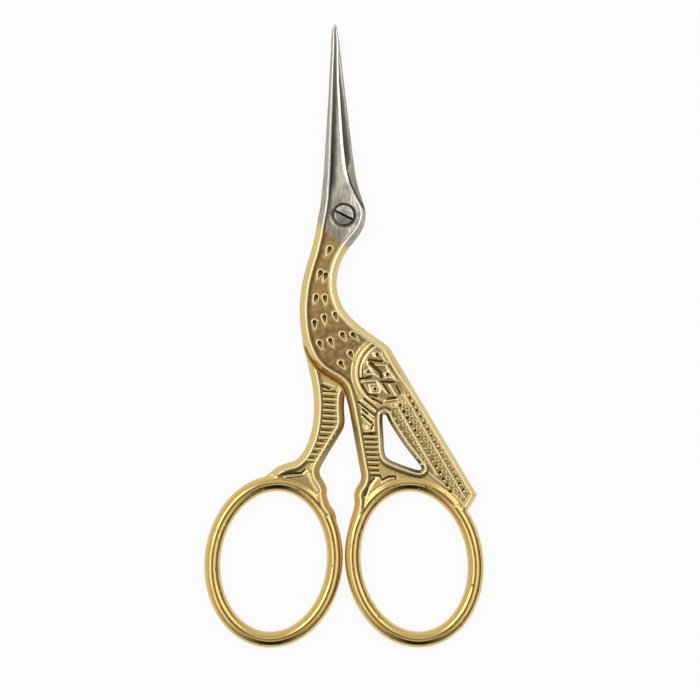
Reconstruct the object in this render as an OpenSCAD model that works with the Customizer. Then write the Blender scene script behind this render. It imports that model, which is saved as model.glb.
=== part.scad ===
// Stork embroidery scissors, closed and lying on their back.
// Two forged halves cross at a slotted screw. Each half is bare steel from the tip to
// the plating line below the pivot and gold plated from there to its finger ring.
// The front half is the stork's upper bill, neck, wing, tail and right leg; the back
// half is the lower bill, breast and left leg. The halves are lapped to half thickness
// from the tips to the crotch, and are full thickness in the legs, tail and rings.
// The origin is on the pivot axis in the plane the scissors rest on; +Y to the tips.

/* [Overall] */
// Thickness of the closed pair
thick = 3.2; // [2.8:0.1:3.6]
// Gap between the two flat inner faces
face_gap = 0.04; // [0.02:0.02:0.1]
// Gap between the shoulder of one half and the body of the other
lap_gap = 0.25; // [0.15:0.05:0.4]
// Distance of the plating line below the pivot axis
plate_y = 4.6; // [4.4:0.1:4.8]

/* [Rim] */
// Width of the sloped outer edge
slope_w = 1; // [0.8:0.05:1.1]
// Width of the flat crest
crest_w = 0.35; // [0.2:0.05:0.5]
// Width of the slope from the crest down to the field
inner_w = 0.4; // [0.2:0.05:0.5]
// Depth of the field below the crest
field_d = 0.35; // [0.2:0.05:0.5]
// Height of the upright side above the parting plane
side_h = 0.4; // [0.3:0.05:0.6]

// Width of the sloped outer edge along the tail
tail_slope = 0.62; // [0.5:0.02:0.8]
// Width of the sloped edge round the hole beside the tail
hole_slope = 0.6; // [0.5:0.05:0.8]

/* [Blades] */
// Crest height above the parting plane near the tip
tip_crest = 0.5; // [0.4:0.05:0.8]
// Width of the spine slope near the tip
tip_slope = 0.4; // [0.3:0.05:0.5]
// Thickness left at the cutting edge
edge_h = 0.08; // [0.05:0.01:0.15]
// Width of the sharpening bevel
bevel_w = 0.3; // [0.2:0.05:0.4]

/* [Pivot] */
// Diameter of the screw head
head_d = 4; // [3.6:0.1:4.2]
// Diameter of the screw shank
shank_d = 2.5; // [2:0.1:2.8]
// Radial running clearance of the front half on the shank
bore_clear = 0.04; // [0.01:0.01:0.1]
// Height of the screw head above its seat
head_h = 0.75; // [0.6:0.05:0.8]
// Diameter of the spot face round the head
spot_d = 4.8; // [4.6:0.1:5]
// Width of the screwdriver slot
slot_w = 0.5; // [0.4:0.05:0.7]
// Direction of the slot
slot_turn = -27; // [-90:1:90]

/* [Finger rings] */
// Diameter of the ring bar
bar_d = 3; // [2.8:0.1:3.1]
// Half the length of a ring's hole
hole_long = 13; // [12.5:0.1:13.2]
// Half the width of a ring's hole
hole_wide = 9.8; // [9.4:0.1:9.9]
// Distance of the ring centres from the pivot's centre line
ring_x = 13; // [13:0.05:13.3]
// Distance of the ring centres below the pivot
ring_y = 64; // [63.8:0.1:64.1]
// Lean of the front ring
front_lean = 8.6; // [8:0.1:9.5]
// Lean of the back ring
back_lean = -6.5; // [-7.5:0.1:-6]

/* [Ornament] */
// Depth of the feather marks
feather_d = 0.22; // [0.1:0.02:0.26]
// Height of the raised lines, ribs and beads above the field
line_h = 0.22; // [0.1:0.02:0.3]
// Distance between the beads of a tail feather
bead_pitch = 1.31; // [1.2:0.01:1.5]
// Distance between the ribs of the front leg
front_rib_pitch = 0.9; // [0.8:0.05:1.1]
// Distance between the ribs of the back leg
back_rib_pitch = 1.03; // [0.9:0.01:1.1]

/* [Hidden] */
steel = "#a8a498";
gold = "#c9a558";
mid_z = thick / 2;
top_h = thick / 2;
field_h = top_h - field_d;
face_h = face_gap / 2;
fine = 32;
bar_r = bar_d / 2;

// Crest and inner slope of the rim along the tail, and how far a rim's foot is sunk.
slim_crest = 0.15;
slim_inner = 0.3;
foot_d = 0.15;
ridge_w = 0.35;
bar_w = 0.42;
rib_w = 0.5;
wing_centre = [8.7, -29.1];

// Closed outline beside the blades, as [y, left, right, front cutting edge].
bill = [
    [35.3, -1.85, -1.5, -1.6],
    [34.3, -2.2, -1.2, -1.3],
    [32, -2.35, -0.85, -1.1],
    [28.5, -2.5, -0.45, -1.05],
    [25, -2.7, -0.05, -0.95],
    [21, -2.9, 0.45, -0.7],
    [17, -3.15, 0.9, -0.45],
    [13, -3.4, 1.4, -0.15],
    [9.5, -3.6, 1.85, 0.25],
    [7.5, -3.75, 2.15, 0.6],
    [6, -3.9, 2.45, 1.05],
    [4.5, -4.05, 2.85, 1.75],
    [3, -4.2, 3.35, 2.5],
    [1.8, -4.35, 3.75, 3.25],
    [0.8, -4.5, 3.98, 3.8],
    [-0.2, -4.7, 4, 4],
    [-1.3, -4.9, 3.85, 3.85],
    [-2.4, -5.1, 3.5, 3.5],
    [-3.5, -5.3, 2.9, 2.9],
    [-plate_y, -5.5, 2.2, 2.2]
];

// Neck outlines from above the plating line down to where each half goes its own way.
neck_left = [
    [-5.3, -3.5], [-6.1, -6.8], [-6.9, -9.4], [-7.7, -12.7],
    [-8.1, -16], [-8.15, -18.3], [-8, -20.5], [-7.7, -22.5]
];
neck_right = [
    [2.9, -3.5], [0.4, -6.8], [-0.85, -9.4], [-1.35, -12.3],
    [-1, -15], [0, -17.3], [1.8, -19.4]
];
// Breast edge of the front half, over the back leg, then the front leg and knuckle.
front_breast = [
    [-7.1, -24.6], [-6.1, -26.8], [-4.6, -28.7], [-2.9, -29.9],
    [-1.2, -30.9], [-0.2, -31.9], [0.3, -33.3]
];
front_leg_left = [
    [0.9, -35.5], [1.4, -38.2], [2.2, -42.6], [2.9, -46.4], [3.2, -48.2],
    [2.9, -49.4], [2.2, -50.5], [1.85, -51.8], [2, -53.2], [1.6, -55], [0.9, -57]
];
// Shoulder, wing and tail of the front half.
front_back = [[4.2, -21.4], [6.9, -23.3], [8.3, -24.4], [9.2, -25.8]];
tail_root = [12.5, -31.4];
tail_tip = [24.6, -51.7];
tail_end = [23, -54.4];
// Hole between the front leg, the tail and the knuckle.
tail_hole = [
    [7.8, -37], [7.3, -36.9], [7.15, -37.5], [7.3, -40.5], [7.5, -43.6], [8.1, -44.95],
    [10.3, -46], [13.3, -47], [14.2, -47], [14.05, -46.2], [11.1, -42.4], [8.6, -38.6]
];
// Belly edge of the back half, under the wing, then the back leg's inner side.
back_shoulder = [[4.2, -21.4], [5.6, -22.4]];
back_corner = [7.9, -24.3];
back_belly = [
    [6.4, -26.6], [5.1, -28.2], [3.6, -29.7], [2.2, -30.9], [1.1, -31.9], [0.3, -33.1]
];
back_leg_right = [
    [0.05, -34.4], [0.05, -36.2], [0.15, -38], [-0.1, -39.4], [-1, -41], [-2.3, -43.1],
    [-4, -46], [-4.5, -47.2], [-4.3, -48.3], [-3.6, -49.4], [-3.1, -50.6],
    [-3.1, -51.8], [-2.6, -53.4], [-1.65, -55], [-1, -57]
];
back_leg_left = [
    [-7.4, -24.7], [-6.9, -26.5], [-6.4, -28.7], [-5.9, -31], [-5.6, -33.2], [-5.5, -35.5],
    [-5.7, -38.3], [-6.2, -40.8], [-7, -42.8], [-7.9, -44.3], [-9.1, -45.4],
    [-10.8, -45.9], [-12.5, -46.7], [-14.6, -48.3], [-17.4, -49.6], [-19.6, -50.9], [-21.3, -52.8]
];
// Feather marks, each as [x, y] of its round end and its direction.
feathers = [
    [-2.6, -6.2, -112], [-4.3, -10.6, -112], [-3.3, -11, -106], [-5.1, -15.1, -106],
    [-3.5, -15.2, -80], [-5.4, -19.8, -88], [-3.6, -18.8, -84], [-1.6, -18.3, -73],
    [-4.5, -23.6, -66], [-2.5, -23.1, -68], [-0.3, -22, -63], [1.7, -22, -52],
    [1.2, -25.5, -64], [-0.6, -27.3, -59]
];

// Zigzags and bars of the wing, then the plumes of the thigh.
wing_bars = [
    [[4.5, -27.2], [6.3, -29.9]],
    [[6.1, -27.7], [7.85, -28], [10.1, -30.9]],
    [[3.9, -30.8], [5.9, -30.5], [7.7, -32.7]],
    [[4.9, -31.7], [5.4, -33], [6.8, -33]],
    [[8.3, -31.3], [9.6, -33.3]],
    [[7.3, -34.5], [9.6, -34.2]]
];
thigh_bars = [[[3.5, -34.6], [5.4, -36.3]], [[3.3, -35.9], [4.9, -37.3]], [[3.4, -37.5], [4.6, -38.5]]];

// Point on a Catmull-Rom curve between b and c.
function between(a, b, c, d, t) =
    ((2 * b) + (c - a) * t + (2 * a - 5 * b + 4 * c - d) * t * t
    + (3 * b - a - 3 * c + d) * t * t * t) / 2;
// Smooth curve through the points p, with k steps between two of them.
function curve(p, k = 2) = concat(
    [for (i = [0:len(p) - 2]) for (j = [0:k - 1])
        between(p[max(i - 1, 0)], p[i], p[i + 1], p[min(i + 2, len(p) - 1)], j / k)],
    [p[len(p) - 1]]);
function loop_curve(p, k = 2) = let (n = len(p))
    [for (i = [0:n - 1]) for (j = [0:k - 1])
        between(p[(i + n - 1) % n], p[i], p[(i + 1) % n], p[(i + 2) % n], j / k)];
function unit(v) = v / norm(v);
function left_of(v) = [-v[1], v[0]];
function blend(a, b, t) = a + (b - a) * t;
function reverse(p) = [for (i = [len(p) - 1:-1:0]) p[i]];

// Inward direction at each point of a path: the mitre of its two segments.
// The inside lies to the left of the path, or to its right when side is -1.
function mitre(a, b) = (a + b) / (1 + a * b);
function inward(p, side, closed) = let (n = len(p))
    [for (i = [0:n - 1])
        let (before = closed || i > 0 ? unit(p[i] - p[(i + n - 1) % n]) : unit(p[1] - p[0]))
        let (after = closed || i < n - 1 ? unit(p[(i + 1) % n] - p[i]) : before)
        side * mitre(left_of(before), left_of(after))];
// Solid through sections that each have k points along the top and k along the bottom.
module loft(tops, bottoms, closed = false) {
    n = len(tops);
    k = len(tops[0]);
    w = 2 * k;
    points = [for (i = [0:n - 1]) each concat(tops[i], reverse(bottoms[i]))];
    last = closed ? n - 1 : n - 2;
    sides = [for (i = [0:last]) for (j = [0:w - 1])
        let (a = i * w + j, b = i * w + (j + 1) % w)
        let (c = ((i + 1) % n) * w + (j + 1) % w, d = ((i + 1) % n) * w + j)
        each [[a, b, c], [a, c, d]]];
    e = (n - 1) * w;
    ends = closed ? [] : [for (j = [0:k - 2]) each [
        [w - 1 - j, w - 2 - j, j + 1], [w - 1 - j, j + 1, j],
        [e + j, e + j + 1, e + w - 2 - j], [e + j, e + w - 2 - j, e + w - 1 - j]
    ]];
    polyhedron(points, concat(sides, ends));
}

// Widths of a rim's outer slope, crest and inner slope, the same all along a path
// or listed for each of its points.
plain = [slope_w, crest_w, inner_w];
slim = [tail_slope, slim_crest, slim_inner];
round_hole = [hole_slope, crest_w, inner_w];
function shape_at(shape, i) = is_list(shape[0]) ? shape[i] : shape;

// Raised rim along a path, of full thickness at its crest.
module rim(path, side, closed = false, shape = plain) {
    dirs = inward(path, side, closed);
    height = [side_h, top_h, top_h, field_h, field_h - foot_d];
    tops = [for (i = [0:len(path) - 1])
        let (s = shape_at(shape, i), far = s[0] + s[1] + s[2])
        let (reach = [0, s[0], s[0] + s[1], far, far + foot_d])
        [for (j = [0:4]) [each (path[i] + dirs[i] * reach[j]), height[j]]]];
    bottoms = [for (s = tops) [for (q = s) [q[0], q[1], -q[2]]]];
    if (side > 0) loft(tops, bottoms, closed);
    else loft(bottoms, tops, closed);
}

// Edge of a field, hidden under the crest of the rim on the path.
function under_crest(path, side, closed = false, shape = plain) =
    let (dirs = inward(path, side, closed))
    [for (i = [0:len(path) - 1]) let (s = shape_at(shape, i))
        path[i] + dirs[i] * (s[0] + s[1] / 2)];

// Ring bar: a twelve-sided section about its round, swept along the oval centre line.
long_r = hole_long + bar_r;
wide_r = hole_wide + bar_r;
module finger_ring(stations = 56) {
    turns = [for (i = [0:stations - 1]) 360 * i / stations];
    out = [for (t = turns) unit([long_r * cos(t), wide_r * sin(t)])];
    corner_r = bar_r / cos(15);
    tops = [for (i = [0:stations - 1]) [for (a = [165:-30:15])
        let (r = corner_r * cos(a), z = corner_r * sin(a))
        [wide_r * cos(turns[i]) + r * out[i][0], long_r * sin(turns[i]) + r * out[i][1], z]]];
    bottoms = [for (s = tops) [for (q = s) [q[0], q[1], -q[2]]]];
    loft(bottoms, tops, closed = true);
}
// Points on a ring's centre line as part of a plate's outline.
function ring_arc(centre, lean, from, to, n = 16) = [for (i = [0:n])
    let (t = blend(from, to, i / n), x = wide_r * cos(t), y = long_r * sin(t))
    centre + [x * cos(lean) - y * sin(lean), x * sin(lean) + y * cos(lean)]];

module at_ring(x, lean) translate([x, -ring_y]) rotate(lean) children();

// Outline of a feather mark: round at the head, drawn to a point.
module feather() polygon(concat(
    [for (t = [60:30:300]) [0.42 * cos(t), 0.42 * sin(t)]], [[1.55, 0]]));
module feather_marks() for (f = feathers)
    translate([f[0], f[1], field_h - feather_d]) rotate(f[2]) linear_extrude(1) feather();

// Outline of a band of even width along a path.
function band(path, w) = let (dirs = inward(path, 1, false), n = len(path) - 1)
    concat([for (i = [0:n]) path[i] - dirs[i] * w / 2], [for (i = [n:-1:0]) path[i] + dirs[i] * w / 2]);
module line(path, w = ridge_w) polygon(band(path, w));
// Raised work stands out on both faces of the full thickness.
module raised() linear_extrude(2 * (field_h + line_h), center = true) children();

// Outline of a row of beads, each a bulge in one moulding.
module bead_row(start, count, dir) {
    n = 6 * count;
    side = left_of(dir);
    half = [for (i = [0:n]) 0.14 + 0.36 * abs(sin(30 * i))];
    polygon(concat(
        [for (i = [0:n]) start + dir * bead_pitch * i / 6 + side * half[i]],
        [for (i = [n:-1:0]) start + dir * bead_pitch * i / 6 - side * half[i]]));
}
module tail_feathers() {
    raised() bead_row([9.3, -35.7], 9, tail_dir);
    raised() bead_row([10.9, -34.4], 14, tail_dir);
    raised() bead_row([12.5, -33.7], 14, tail_dir);
    raised() line([[9.8, -35.3], [16.9, -47.4]]);
    raised() line([[11.5, -33.9], [22, -51.7]]);
}

// Ribs across a leg, between its left and right edges as [y, x] points.
module leg_ribs(top, count, pitch, left, right) for (i = [0:count - 1]) {
    y = top - i * pitch;
    raised() line([[lookup(y, left) + 1.2, y], [lookup(y, right) - 1, y]], rib_w);
}

// Raised work on the front face only, as the back of it lies on the other half.
module raised_front() linear_extrude(field_h + line_h) children();
function wing_arc(radius, from, to) = [for (i = [0:12])
    let (t = blend(from, to, i / 12)) wing_centre + radius * [cos(t), sin(t)]];
// Double line round the shoulder of the wing and the zigzags and bars inside it.
module wing_lines() {
    raised_front() line(wing_arc(6.45, 118, 236));
    raised_front() line(wing_arc(5.45, 112, 240));
    raised_front() line(wing_arc(7.25, 178, 222));
    for (path = wing_bars) raised_front() line(path, bar_w);
    for (path = thigh_bars) raised() line(path, bar_w);
}

// Blade and pivot eye: spine on one side, cutting edge on the other.
function widths(y) = let (t = max(0, min(1, (35.3 - y) / 32)))
    blend(tip_slope, slope_w, t * t);
function slant(col, i) = let (n = len(bill))
    let (a = bill[max(i - 1, 0)], b = bill[min(i + 1, n - 1)])
    norm([a[col] - b[col], a[0] - b[0]]) / (a[0] - b[0]);
module steel_half(front) {
    sign = front ? 1 : -1;
    tops = [for (i = [0:len(bill) - 1])
        let (s = bill[i], y = s[0], spine = front ? s[1] : s[2])
        let (m = slant(front ? 1 : 2, i), n = slant(front ? 2 : 1, i))
        let (edge = front ? s[3] : s[1] + s[2] - s[3])
        let (w = abs(edge - spine), k = min(1, max(0, (y - 0.8) / 6)))
        let (a = min(widths(y), w * 0.35), b = a + min(0.3, w * 0.12), face = w - b)
        let (crest = min(top_h, blend(tip_crest, top_h, min(1, (35.3 - y) / 31))))
        let (along_blade = [0, a, b, b + 0.18 * face, b + 0.45 * face, b + 0.7 * face,
            w - min(bevel_w, 0.2 * face), w])
        let (along_neck = [0, m * slope_w, m * (slope_w + crest_w), m * (slope_w + crest_w + inner_w),
            w - n * (slope_w + crest_w + inner_w), w - n * (slope_w + crest_w), w - n * slope_w, w])
        let (up_blade = [min(side_h, crest * 0.5), crest, crest, crest * 0.68, crest * 0.46,
            crest * 0.34, crest * 0.12 + edge_h, edge_h])
        let (up_neck = [side_h, top_h, top_h, field_h, field_h, top_h, top_h, side_h])
        [for (j = [0:7]) [spine + sign * blend(along_neck[j], along_blade[j], k), y,
            blend(up_neck[j], up_blade[j], k)]]];
    bottoms = [for (s = tops) [for (q = s) [q[0], q[1], face_h]]];
    if (front) loft(tops, bottoms);
    else loft(bottoms, tops);
}

seat_h = 0.75;
module front_blade() color(steel) translate([0, 0, mid_z]) difference() {
    steel_half(true);
    cylinder(r = shank_d / 2 + bore_clear, h = 5, center = true, $fn = fine);
    translate([0, 0, seat_h]) cylinder(r = head_d / 2 + 0.05, h = 2, $fn = fine);
    translate([0, 0, field_h - 0.1]) cylinder(d = spot_d, h = 2, $fn = fine);
}
module back_blade() color(steel) translate([0, 0, mid_z]) mirror([0, 0, 1]) difference() {
    steel_half(false);
    cylinder(d = shank_d, h = 5, center = true, $fn = fine);
}

module pivot_screw() color("#8f8b80") translate([0, 0, mid_z]) difference() {
    rotate_extrude($fn = fine) polygon([
        [0, -top_h], [shank_d / 2, -top_h], [shank_d / 2, seat_h + 0.02],
        [head_d / 2, seat_h + 0.02], [head_d / 2, seat_h + head_h - 0.15],
        [head_d / 2 - 0.2, seat_h + head_h], [0, seat_h + head_h + 0.06]
    ]);
    rotate(slot_turn) translate([-head_d, -slot_w / 2, seat_h + head_h - 0.4]) cube([2 * head_d, slot_w, 2]);
}

// Front half below the plating line.
front_left = curve(concat(neck_left, front_breast, front_leg_left));
front_spine = curve(concat(neck_right, front_back));
front_right = concat(front_spine, [tail_root, tail_tip, tail_end]);
back_shape = concat([for (q = front_spine) plain], [slim, slim, slim]);
front_hole = loop_curve(tail_hole);
front_centre = [ring_x, -ring_y];
tail_dir = unit(tail_tip - tail_root);

module front_plate() linear_extrude(2 * field_h, center = true) difference() {
    polygon(concat(under_crest(front_left, 1),
        ring_arc(front_centre, front_lean, 155, 35),
        reverse(under_crest(front_right, -1, shape = back_shape))));
    polygon(under_crest(front_hole, -1, closed = true, shape = round_hole));
}

module above_plating() translate([-20, -plate_y, -5]) cube([40, 10, 10]);

// Space of the back half's body under the front half.
module front_lap() {
    dirs = inward(back_belly, 1, false);
    linear_extrude(4) polygon(concat(
        [[-20, 5], [20, 5], [20, -24.9], [8.9, -24.9]],
        [for (i = [0:len(back_belly) - 1]) back_belly[i] + lap_gap * dirs[i]],
        [[0.5, -34.4], [-20, -34.4]]));
}

module front_handle() color(gold) translate([0, 0, mid_z]) difference() {
    union() {
        front_plate();
        rim(front_left, 1);
        rim(front_right, -1, shape = back_shape);
        rim(front_hole, -1, closed = true, shape = round_hole);
        at_ring(ring_x, front_lean) finger_ring();
        tail_feathers();
        wing_lines();
        leg_ribs(-40.6, 8, front_rib_pitch, [[-48.2, 3.2], [-42.6, 2.2], [-38.2, 1.4]],
            [[-47, 8], [-44.9, 7.9], [-43.6, 7.3], [-40.5, 7.1]]);
    }
    mirror([0, 0, 1]) translate([0, 0, -face_h]) front_lap();
    above_plating();
    feather_marks();
}

// Back half below the plating line, built as seen through the front.
back_left = curve(concat(neck_left, back_leg_left));
back_right = concat(curve(concat(neck_right, back_shoulder)), [back_corner],
    curve(concat(back_belly, back_leg_right)));
back_centre = [-ring_x, -ring_y];

module back_plate() linear_extrude(2 * field_h, center = true)
    polygon(concat(under_crest([for (i = [0:len(back_left) - 4]) back_left[i]], 1),
        ring_arc(back_centre, back_lean, 135, 25),
        reverse(under_crest(back_right, -1))));

// Space of the front half's body over the back half.
module back_lap() {
    edge = curve(concat([neck_left[len(neck_left) - 1]], front_breast));
    dirs = inward(edge, 1, false);
    linear_extrude(4) polygon(concat(
        [[-20, 5], [-20, -22.6]],
        [for (i = [0:len(edge) - 1]) edge[i] - lap_gap * dirs[i]],
        [[0.3, -34.2], [20, -34.2], [20, 5]]));
}

module back_handle() color(gold) translate([0, 0, mid_z]) difference() {
    union() {
        back_plate();
        rim(back_left, 1);
        rim(back_right, -1);
        at_ring(-ring_x, back_lean) finger_ring();
        leg_ribs(-33, 13, back_rib_pitch,
            [[-45.4, -9.1], [-44.3, -7.9], [-42.8, -7], [-40.8, -6.2], [-38.3, -5.7],
            [-35.5, -5.5], [-33, -5.6]],
            [[-46, -4], [-43.1, -2.3], [-41, -1], [-39.4, -0.1], [-38, 0.1], [-34, 0.1]]);
    }
    translate([0, 0, -face_h]) back_lap();
    above_plating();
    mirror([0, 0, 1]) feather_marks();
}

front_blade();
front_handle();
back_blade();
back_handle();
pivot_screw();
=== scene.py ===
import math

import bpy
import numpy as np
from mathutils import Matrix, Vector
from mathutils.geometry import delaunay_2d_cdt
from mathutils.kdtree import KDTree


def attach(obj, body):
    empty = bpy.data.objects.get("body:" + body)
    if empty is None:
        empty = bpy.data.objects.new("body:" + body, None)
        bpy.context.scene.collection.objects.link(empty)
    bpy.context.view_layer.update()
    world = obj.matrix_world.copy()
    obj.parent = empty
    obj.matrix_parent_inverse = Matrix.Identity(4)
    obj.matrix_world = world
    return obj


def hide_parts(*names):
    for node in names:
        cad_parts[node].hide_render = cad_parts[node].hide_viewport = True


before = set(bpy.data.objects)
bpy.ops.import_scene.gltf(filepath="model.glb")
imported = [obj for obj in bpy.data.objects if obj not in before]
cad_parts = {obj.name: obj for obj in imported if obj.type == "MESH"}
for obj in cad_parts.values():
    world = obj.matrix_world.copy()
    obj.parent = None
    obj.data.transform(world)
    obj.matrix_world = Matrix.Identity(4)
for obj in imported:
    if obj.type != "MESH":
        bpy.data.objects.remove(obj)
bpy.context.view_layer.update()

# Lengths are in millimetres from the pivot axis and from the parting plane of the two halves.
# solid_mesh() and rail_object() turn them into metres in the CAD's frame.
MM = 0.001
PARTING = 1.6       # parting plane over the resting plane
TOP = 1.6           # highest crests over the parting plane
FIELD = 1.25        # sunk field inside the rims
SIDE = 0.4          # top of the upright sides, where the rims' outer slopes start
FACE = 0.02         # inner faces from the parting plane
OUTSIDE = 9.0       # more than any height
LAP_GAP = 0.25      # gap beside the shoulders that end the lap
PLATING_Y = -4.6    # line where a half is split in two pieces
TIP_Y = 35.3        # tip of the blades
RIM_Y = 7.5         # top of the rims, which run on into the blades
STEP = 0.3          # between the points of an outline
SLOPE = 1.0         # breadth of a rim's outer slope
TAIL_SLOPE = 0.62   # the same along the tail
INNER = 0.4         # breadth of a rim's inner slope
CREST = 0.35        # breadth of a crest
DOME = 0.07         # fall of a crest from its middle to its edge
BAR = 1.48          # radius of the bar of a finger ring
LONG = 14.5         # half axes of the oval that the bar follows
WIDE = 11.3
SEED_R = 0.44       # feather mark: radius of its round end, and length from there to its point
SEED_LONG = 1.5
RIB_Z = 1.15        # axis of the leg ribs over the parting plane
BEAD_PITCH = 1.31   # rings and beads along the tail
LINE_W = 0.5        # raised lines and grooves
GROOVE_W = 0.46
SEAT_R = 2.1        # seat of the screw's head, and the spot ground flat round it
SPOT_R = 2.4
SPOT_Z = FIELD - 0.1
SEAT_Z = 0.75
WALL = 0.12         # breadth of the steep walls of spot and seat
HEAD_R = 1.9        # screw's head and shank, and the bore that runs on the shank
SHANK_R = 1.25
BORE_R = 1.29

# Stations down the closed blades: y, left edge, right edge, cutting edge of the front half.
BILL = np.array([
    (35.3, -1.85, -1.5, -1.6), (34.3, -2.2, -1.2, -1.3), (32, -2.35, -0.85, -1.1),
    (28.5, -2.5, -0.45, -1.05), (25, -2.7, -0.05, -0.95), (21, -2.9, 0.45, -0.7),
    (17, -3.15, 0.9, -0.45), (13, -3.4, 1.4, -0.15), (9.5, -3.6, 1.85, 0.25),
    (7.5, -3.75, 2.15, 0.6), (6, -3.9, 2.45, 1.05), (4.5, -4.05, 2.85, 1.75),
    (3, -4.2, 3.35, 2.5), (1.8, -4.35, 3.75, 3.25), (0.8, -4.5, 3.98, 3.8),
    (-0.2, -4.7, 4, 4), (-1.3, -4.9, 3.85, 3.85), (-2.4, -5.1, 3.5, 3.5),
    (-3.5, -5.3, 2.9, 2.9), (-4.6, -5.55, 2.1, 2.1)])
NECK_LEFT = [(-6.1, -6.8), (-6.9, -9.4), (-7.7, -12.7), (-8.1, -16), (-8.15, -18.3),
             (-8, -20.5), (-7.7, -22.5)]
NECK_RIGHT = [(0.4, -6.8), (-0.85, -9.4), (-1.35, -12.3), (-1, -15), (0, -17.3), (1.8, -19.4)]
FRONT_BREAST = [(-7.1, -24.6), (-6.1, -26.8), (-4.6, -28.7), (-2.9, -29.9), (-1.2, -30.9),
                (-0.2, -31.9), (0.3, -33.3)]
FRONT_LEG = [(0.9, -35.5), (1.4, -38.2), (2.2, -42.6), (2.9, -46.4), (3.2, -48.2),
             (2.9, -49.4), (2.2, -50.5), (1.85, -51.8), (2, -53.2), (1.6, -55),
             (1.12, -56.7), (0.85, -58)]
FRONT_BACK = [(4.2, -21.4), (6.9, -23.3), (8.3, -24.4), (9.2, -25.8)]
TAIL_ROOT = (12.5, -31.4)
TAIL_TIP = (24.6, -51.7)
TAIL_END = (23, -54.4)
TAIL_HOLE = [(7.8, -37), (7.3, -36.9), (7.15, -37.5), (7.3, -40.5), (7.5, -43.6), (8.1, -44.95),
             (10.3, -46), (13.3, -47), (14.2, -47), (14.05, -46.2), (11.1, -42.4), (8.6, -38.6)]
BACK_SHOULDER = [(4.2, -21.4), (5.6, -22.4)]
BACK_CORNER = (7.9, -24.3)
BACK_BELLY = [(6.4, -26.6), (5.1, -28.2), (3.6, -29.7), (2.2, -30.9), (1.1, -31.9), (0.3, -33.1)]
BACK_LEG_RIGHT = [(0.05, -34.4), (0.05, -36.2), (0.15, -38), (-0.1, -39.4), (-1, -41),
                  (-2.3, -43.1), (-4, -46), (-4.5, -47.2), (-4.3, -48.3), (-3.6, -49.4),
                  (-3.1, -50.6), (-3.1, -51.8), (-2.6, -53.4), (-1.65, -55), (-1.27, -56.9),
                  (-0.95, -58)]
BACK_LEG_LEFT = [(-7.4, -24.7), (-6.9, -26.5), (-6.4, -28.7), (-5.9, -31), (-5.6, -33.2),
                 (-5.5, -35.5), (-5.7, -38.3), (-6.2, -40.8), (-7, -42.8), (-7.9, -44.3),
                 (-9.1, -45.4), (-10.8, -45.9), (-12.5, -46.7), (-14.6, -48.3), (-17.4, -49.6),
                 (-19.6, -50.9), (-21.3, -52.8)]
# Feather marks: x and y of the round end, and the direction of the point in degrees.
FEATHERS = [(-2.6, -6.2, -112), (-4.3, -10.6, -112), (-3.3, -11, -106), (-5.1, -15.1, -106),
            (-3.5, -15.2, -80), (-5.4, -19.8, -88), (-3.6, -18.8, -84), (-1.6, -18.3, -73),
            (-4.5, -23.6, -66), (-2.5, -23.1, -68), (-0.3, -22, -63), (1.7, -22, -52),
            (1.2, -25.5, -64), (-0.6, -27.3, -59)]


def smooth_path(points, step=STEP, closed=False):
    """Catmull-Rom curve through the points, with a point about every step."""
    p = np.array(points, float)
    n = len(p)
    out = []
    for i in range(n if closed else n - 1):
        if closed:
            a, b, c, d = p[i - 1], p[i], p[(i + 1) % n], p[(i + 2) % n]
        else:
            a, b, c, d = p[max(i - 1, 0)], p[i], p[i + 1], p[min(i + 2, n - 1)]
        k = max(1, int(round(np.linalg.norm(c - b) / step)))
        for t in np.arange(k) / k:
            out.append((2 * b + (c - a) * t + (2 * a - 5 * b + 4 * c - d) * t * t
                        + (3 * b - a - 3 * c + d) * t ** 3) / 2)
    if not closed:
        out.append(p[-1])
    return np.array(out)


def straight_path(points, step=STEP):
    """Polyline through the points, with a point about every step."""
    out = []
    for a, b in zip(points[:-1], points[1:]):
        a, b = np.array(a, float), np.array(b, float)
        k = max(1, int(round(np.linalg.norm(b - a) / step)))
        out.extend(a + (b - a) * t for t in np.arange(k) / k)
    out.append(np.array(points[-1], float))
    return np.array(out)


def joined(*paths):
    """Paths end to end, each shared end point once."""
    out = [np.asarray(paths[0], float)]
    for p in paths[1:]:
        p = np.asarray(p, float)
        out.append(p[1:] if np.linalg.norm(p[0] - out[-1][-1]) < 1e-6 else p)
    return np.vstack(out)


def ring_closed(path):
    """The path with its first point again at its end."""
    return np.vstack([path, path[:1]])


def kd_tree(points):
    tree = KDTree(len(points))
    for i, (x, y) in enumerate(points):
        tree.insert((x, y, 0), i)
    tree.balance()
    return tree


def nearest(points, path, closed=False):
    """Distance to a path, and the place along it."""
    n = len(path)
    tree = kd_tree(path)
    idx = np.array([tree.find((x, y, 0))[1] for x, y in points])
    best = np.full(len(points), np.inf)
    place = np.zeros(len(points))
    for i in (idx - 1, idx):
        if closed:
            i, j = i % n, (i + 1) % n
            ok = True
        else:
            ok = (i >= 0) & (i < n - 1)
            i = np.clip(i, 0, n - 2)
            j = i + 1
        ab, ap = path[j] - path[i], points - path[i]
        t = np.clip((ap * ab).sum(1) / (ab * ab).sum(1), 0, 1)
        d = np.linalg.norm(ap - ab * t[:, None], axis=1)
        better = ok & (d < best - 1e-9)
        best = np.where(better, d, best)
        place = np.where(better, i + t, place)
    return best, place


def inside(points, polygon):
    """Even-odd test of many points against one polygon."""
    x, y = points[:, 0], points[:, 1]
    result = np.zeros(len(points), bool)
    corners = np.asarray(polygon, float)
    for (x0, y0), (x1, y1) in zip(corners, np.roll(corners, -1, axis=0)):
        if y0 != y1:
            result ^= ((y0 > y) != (y1 > y)) & (x < (x1 - x0) * (y - y0) / (y1 - y0) + x0)
    return result


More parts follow.
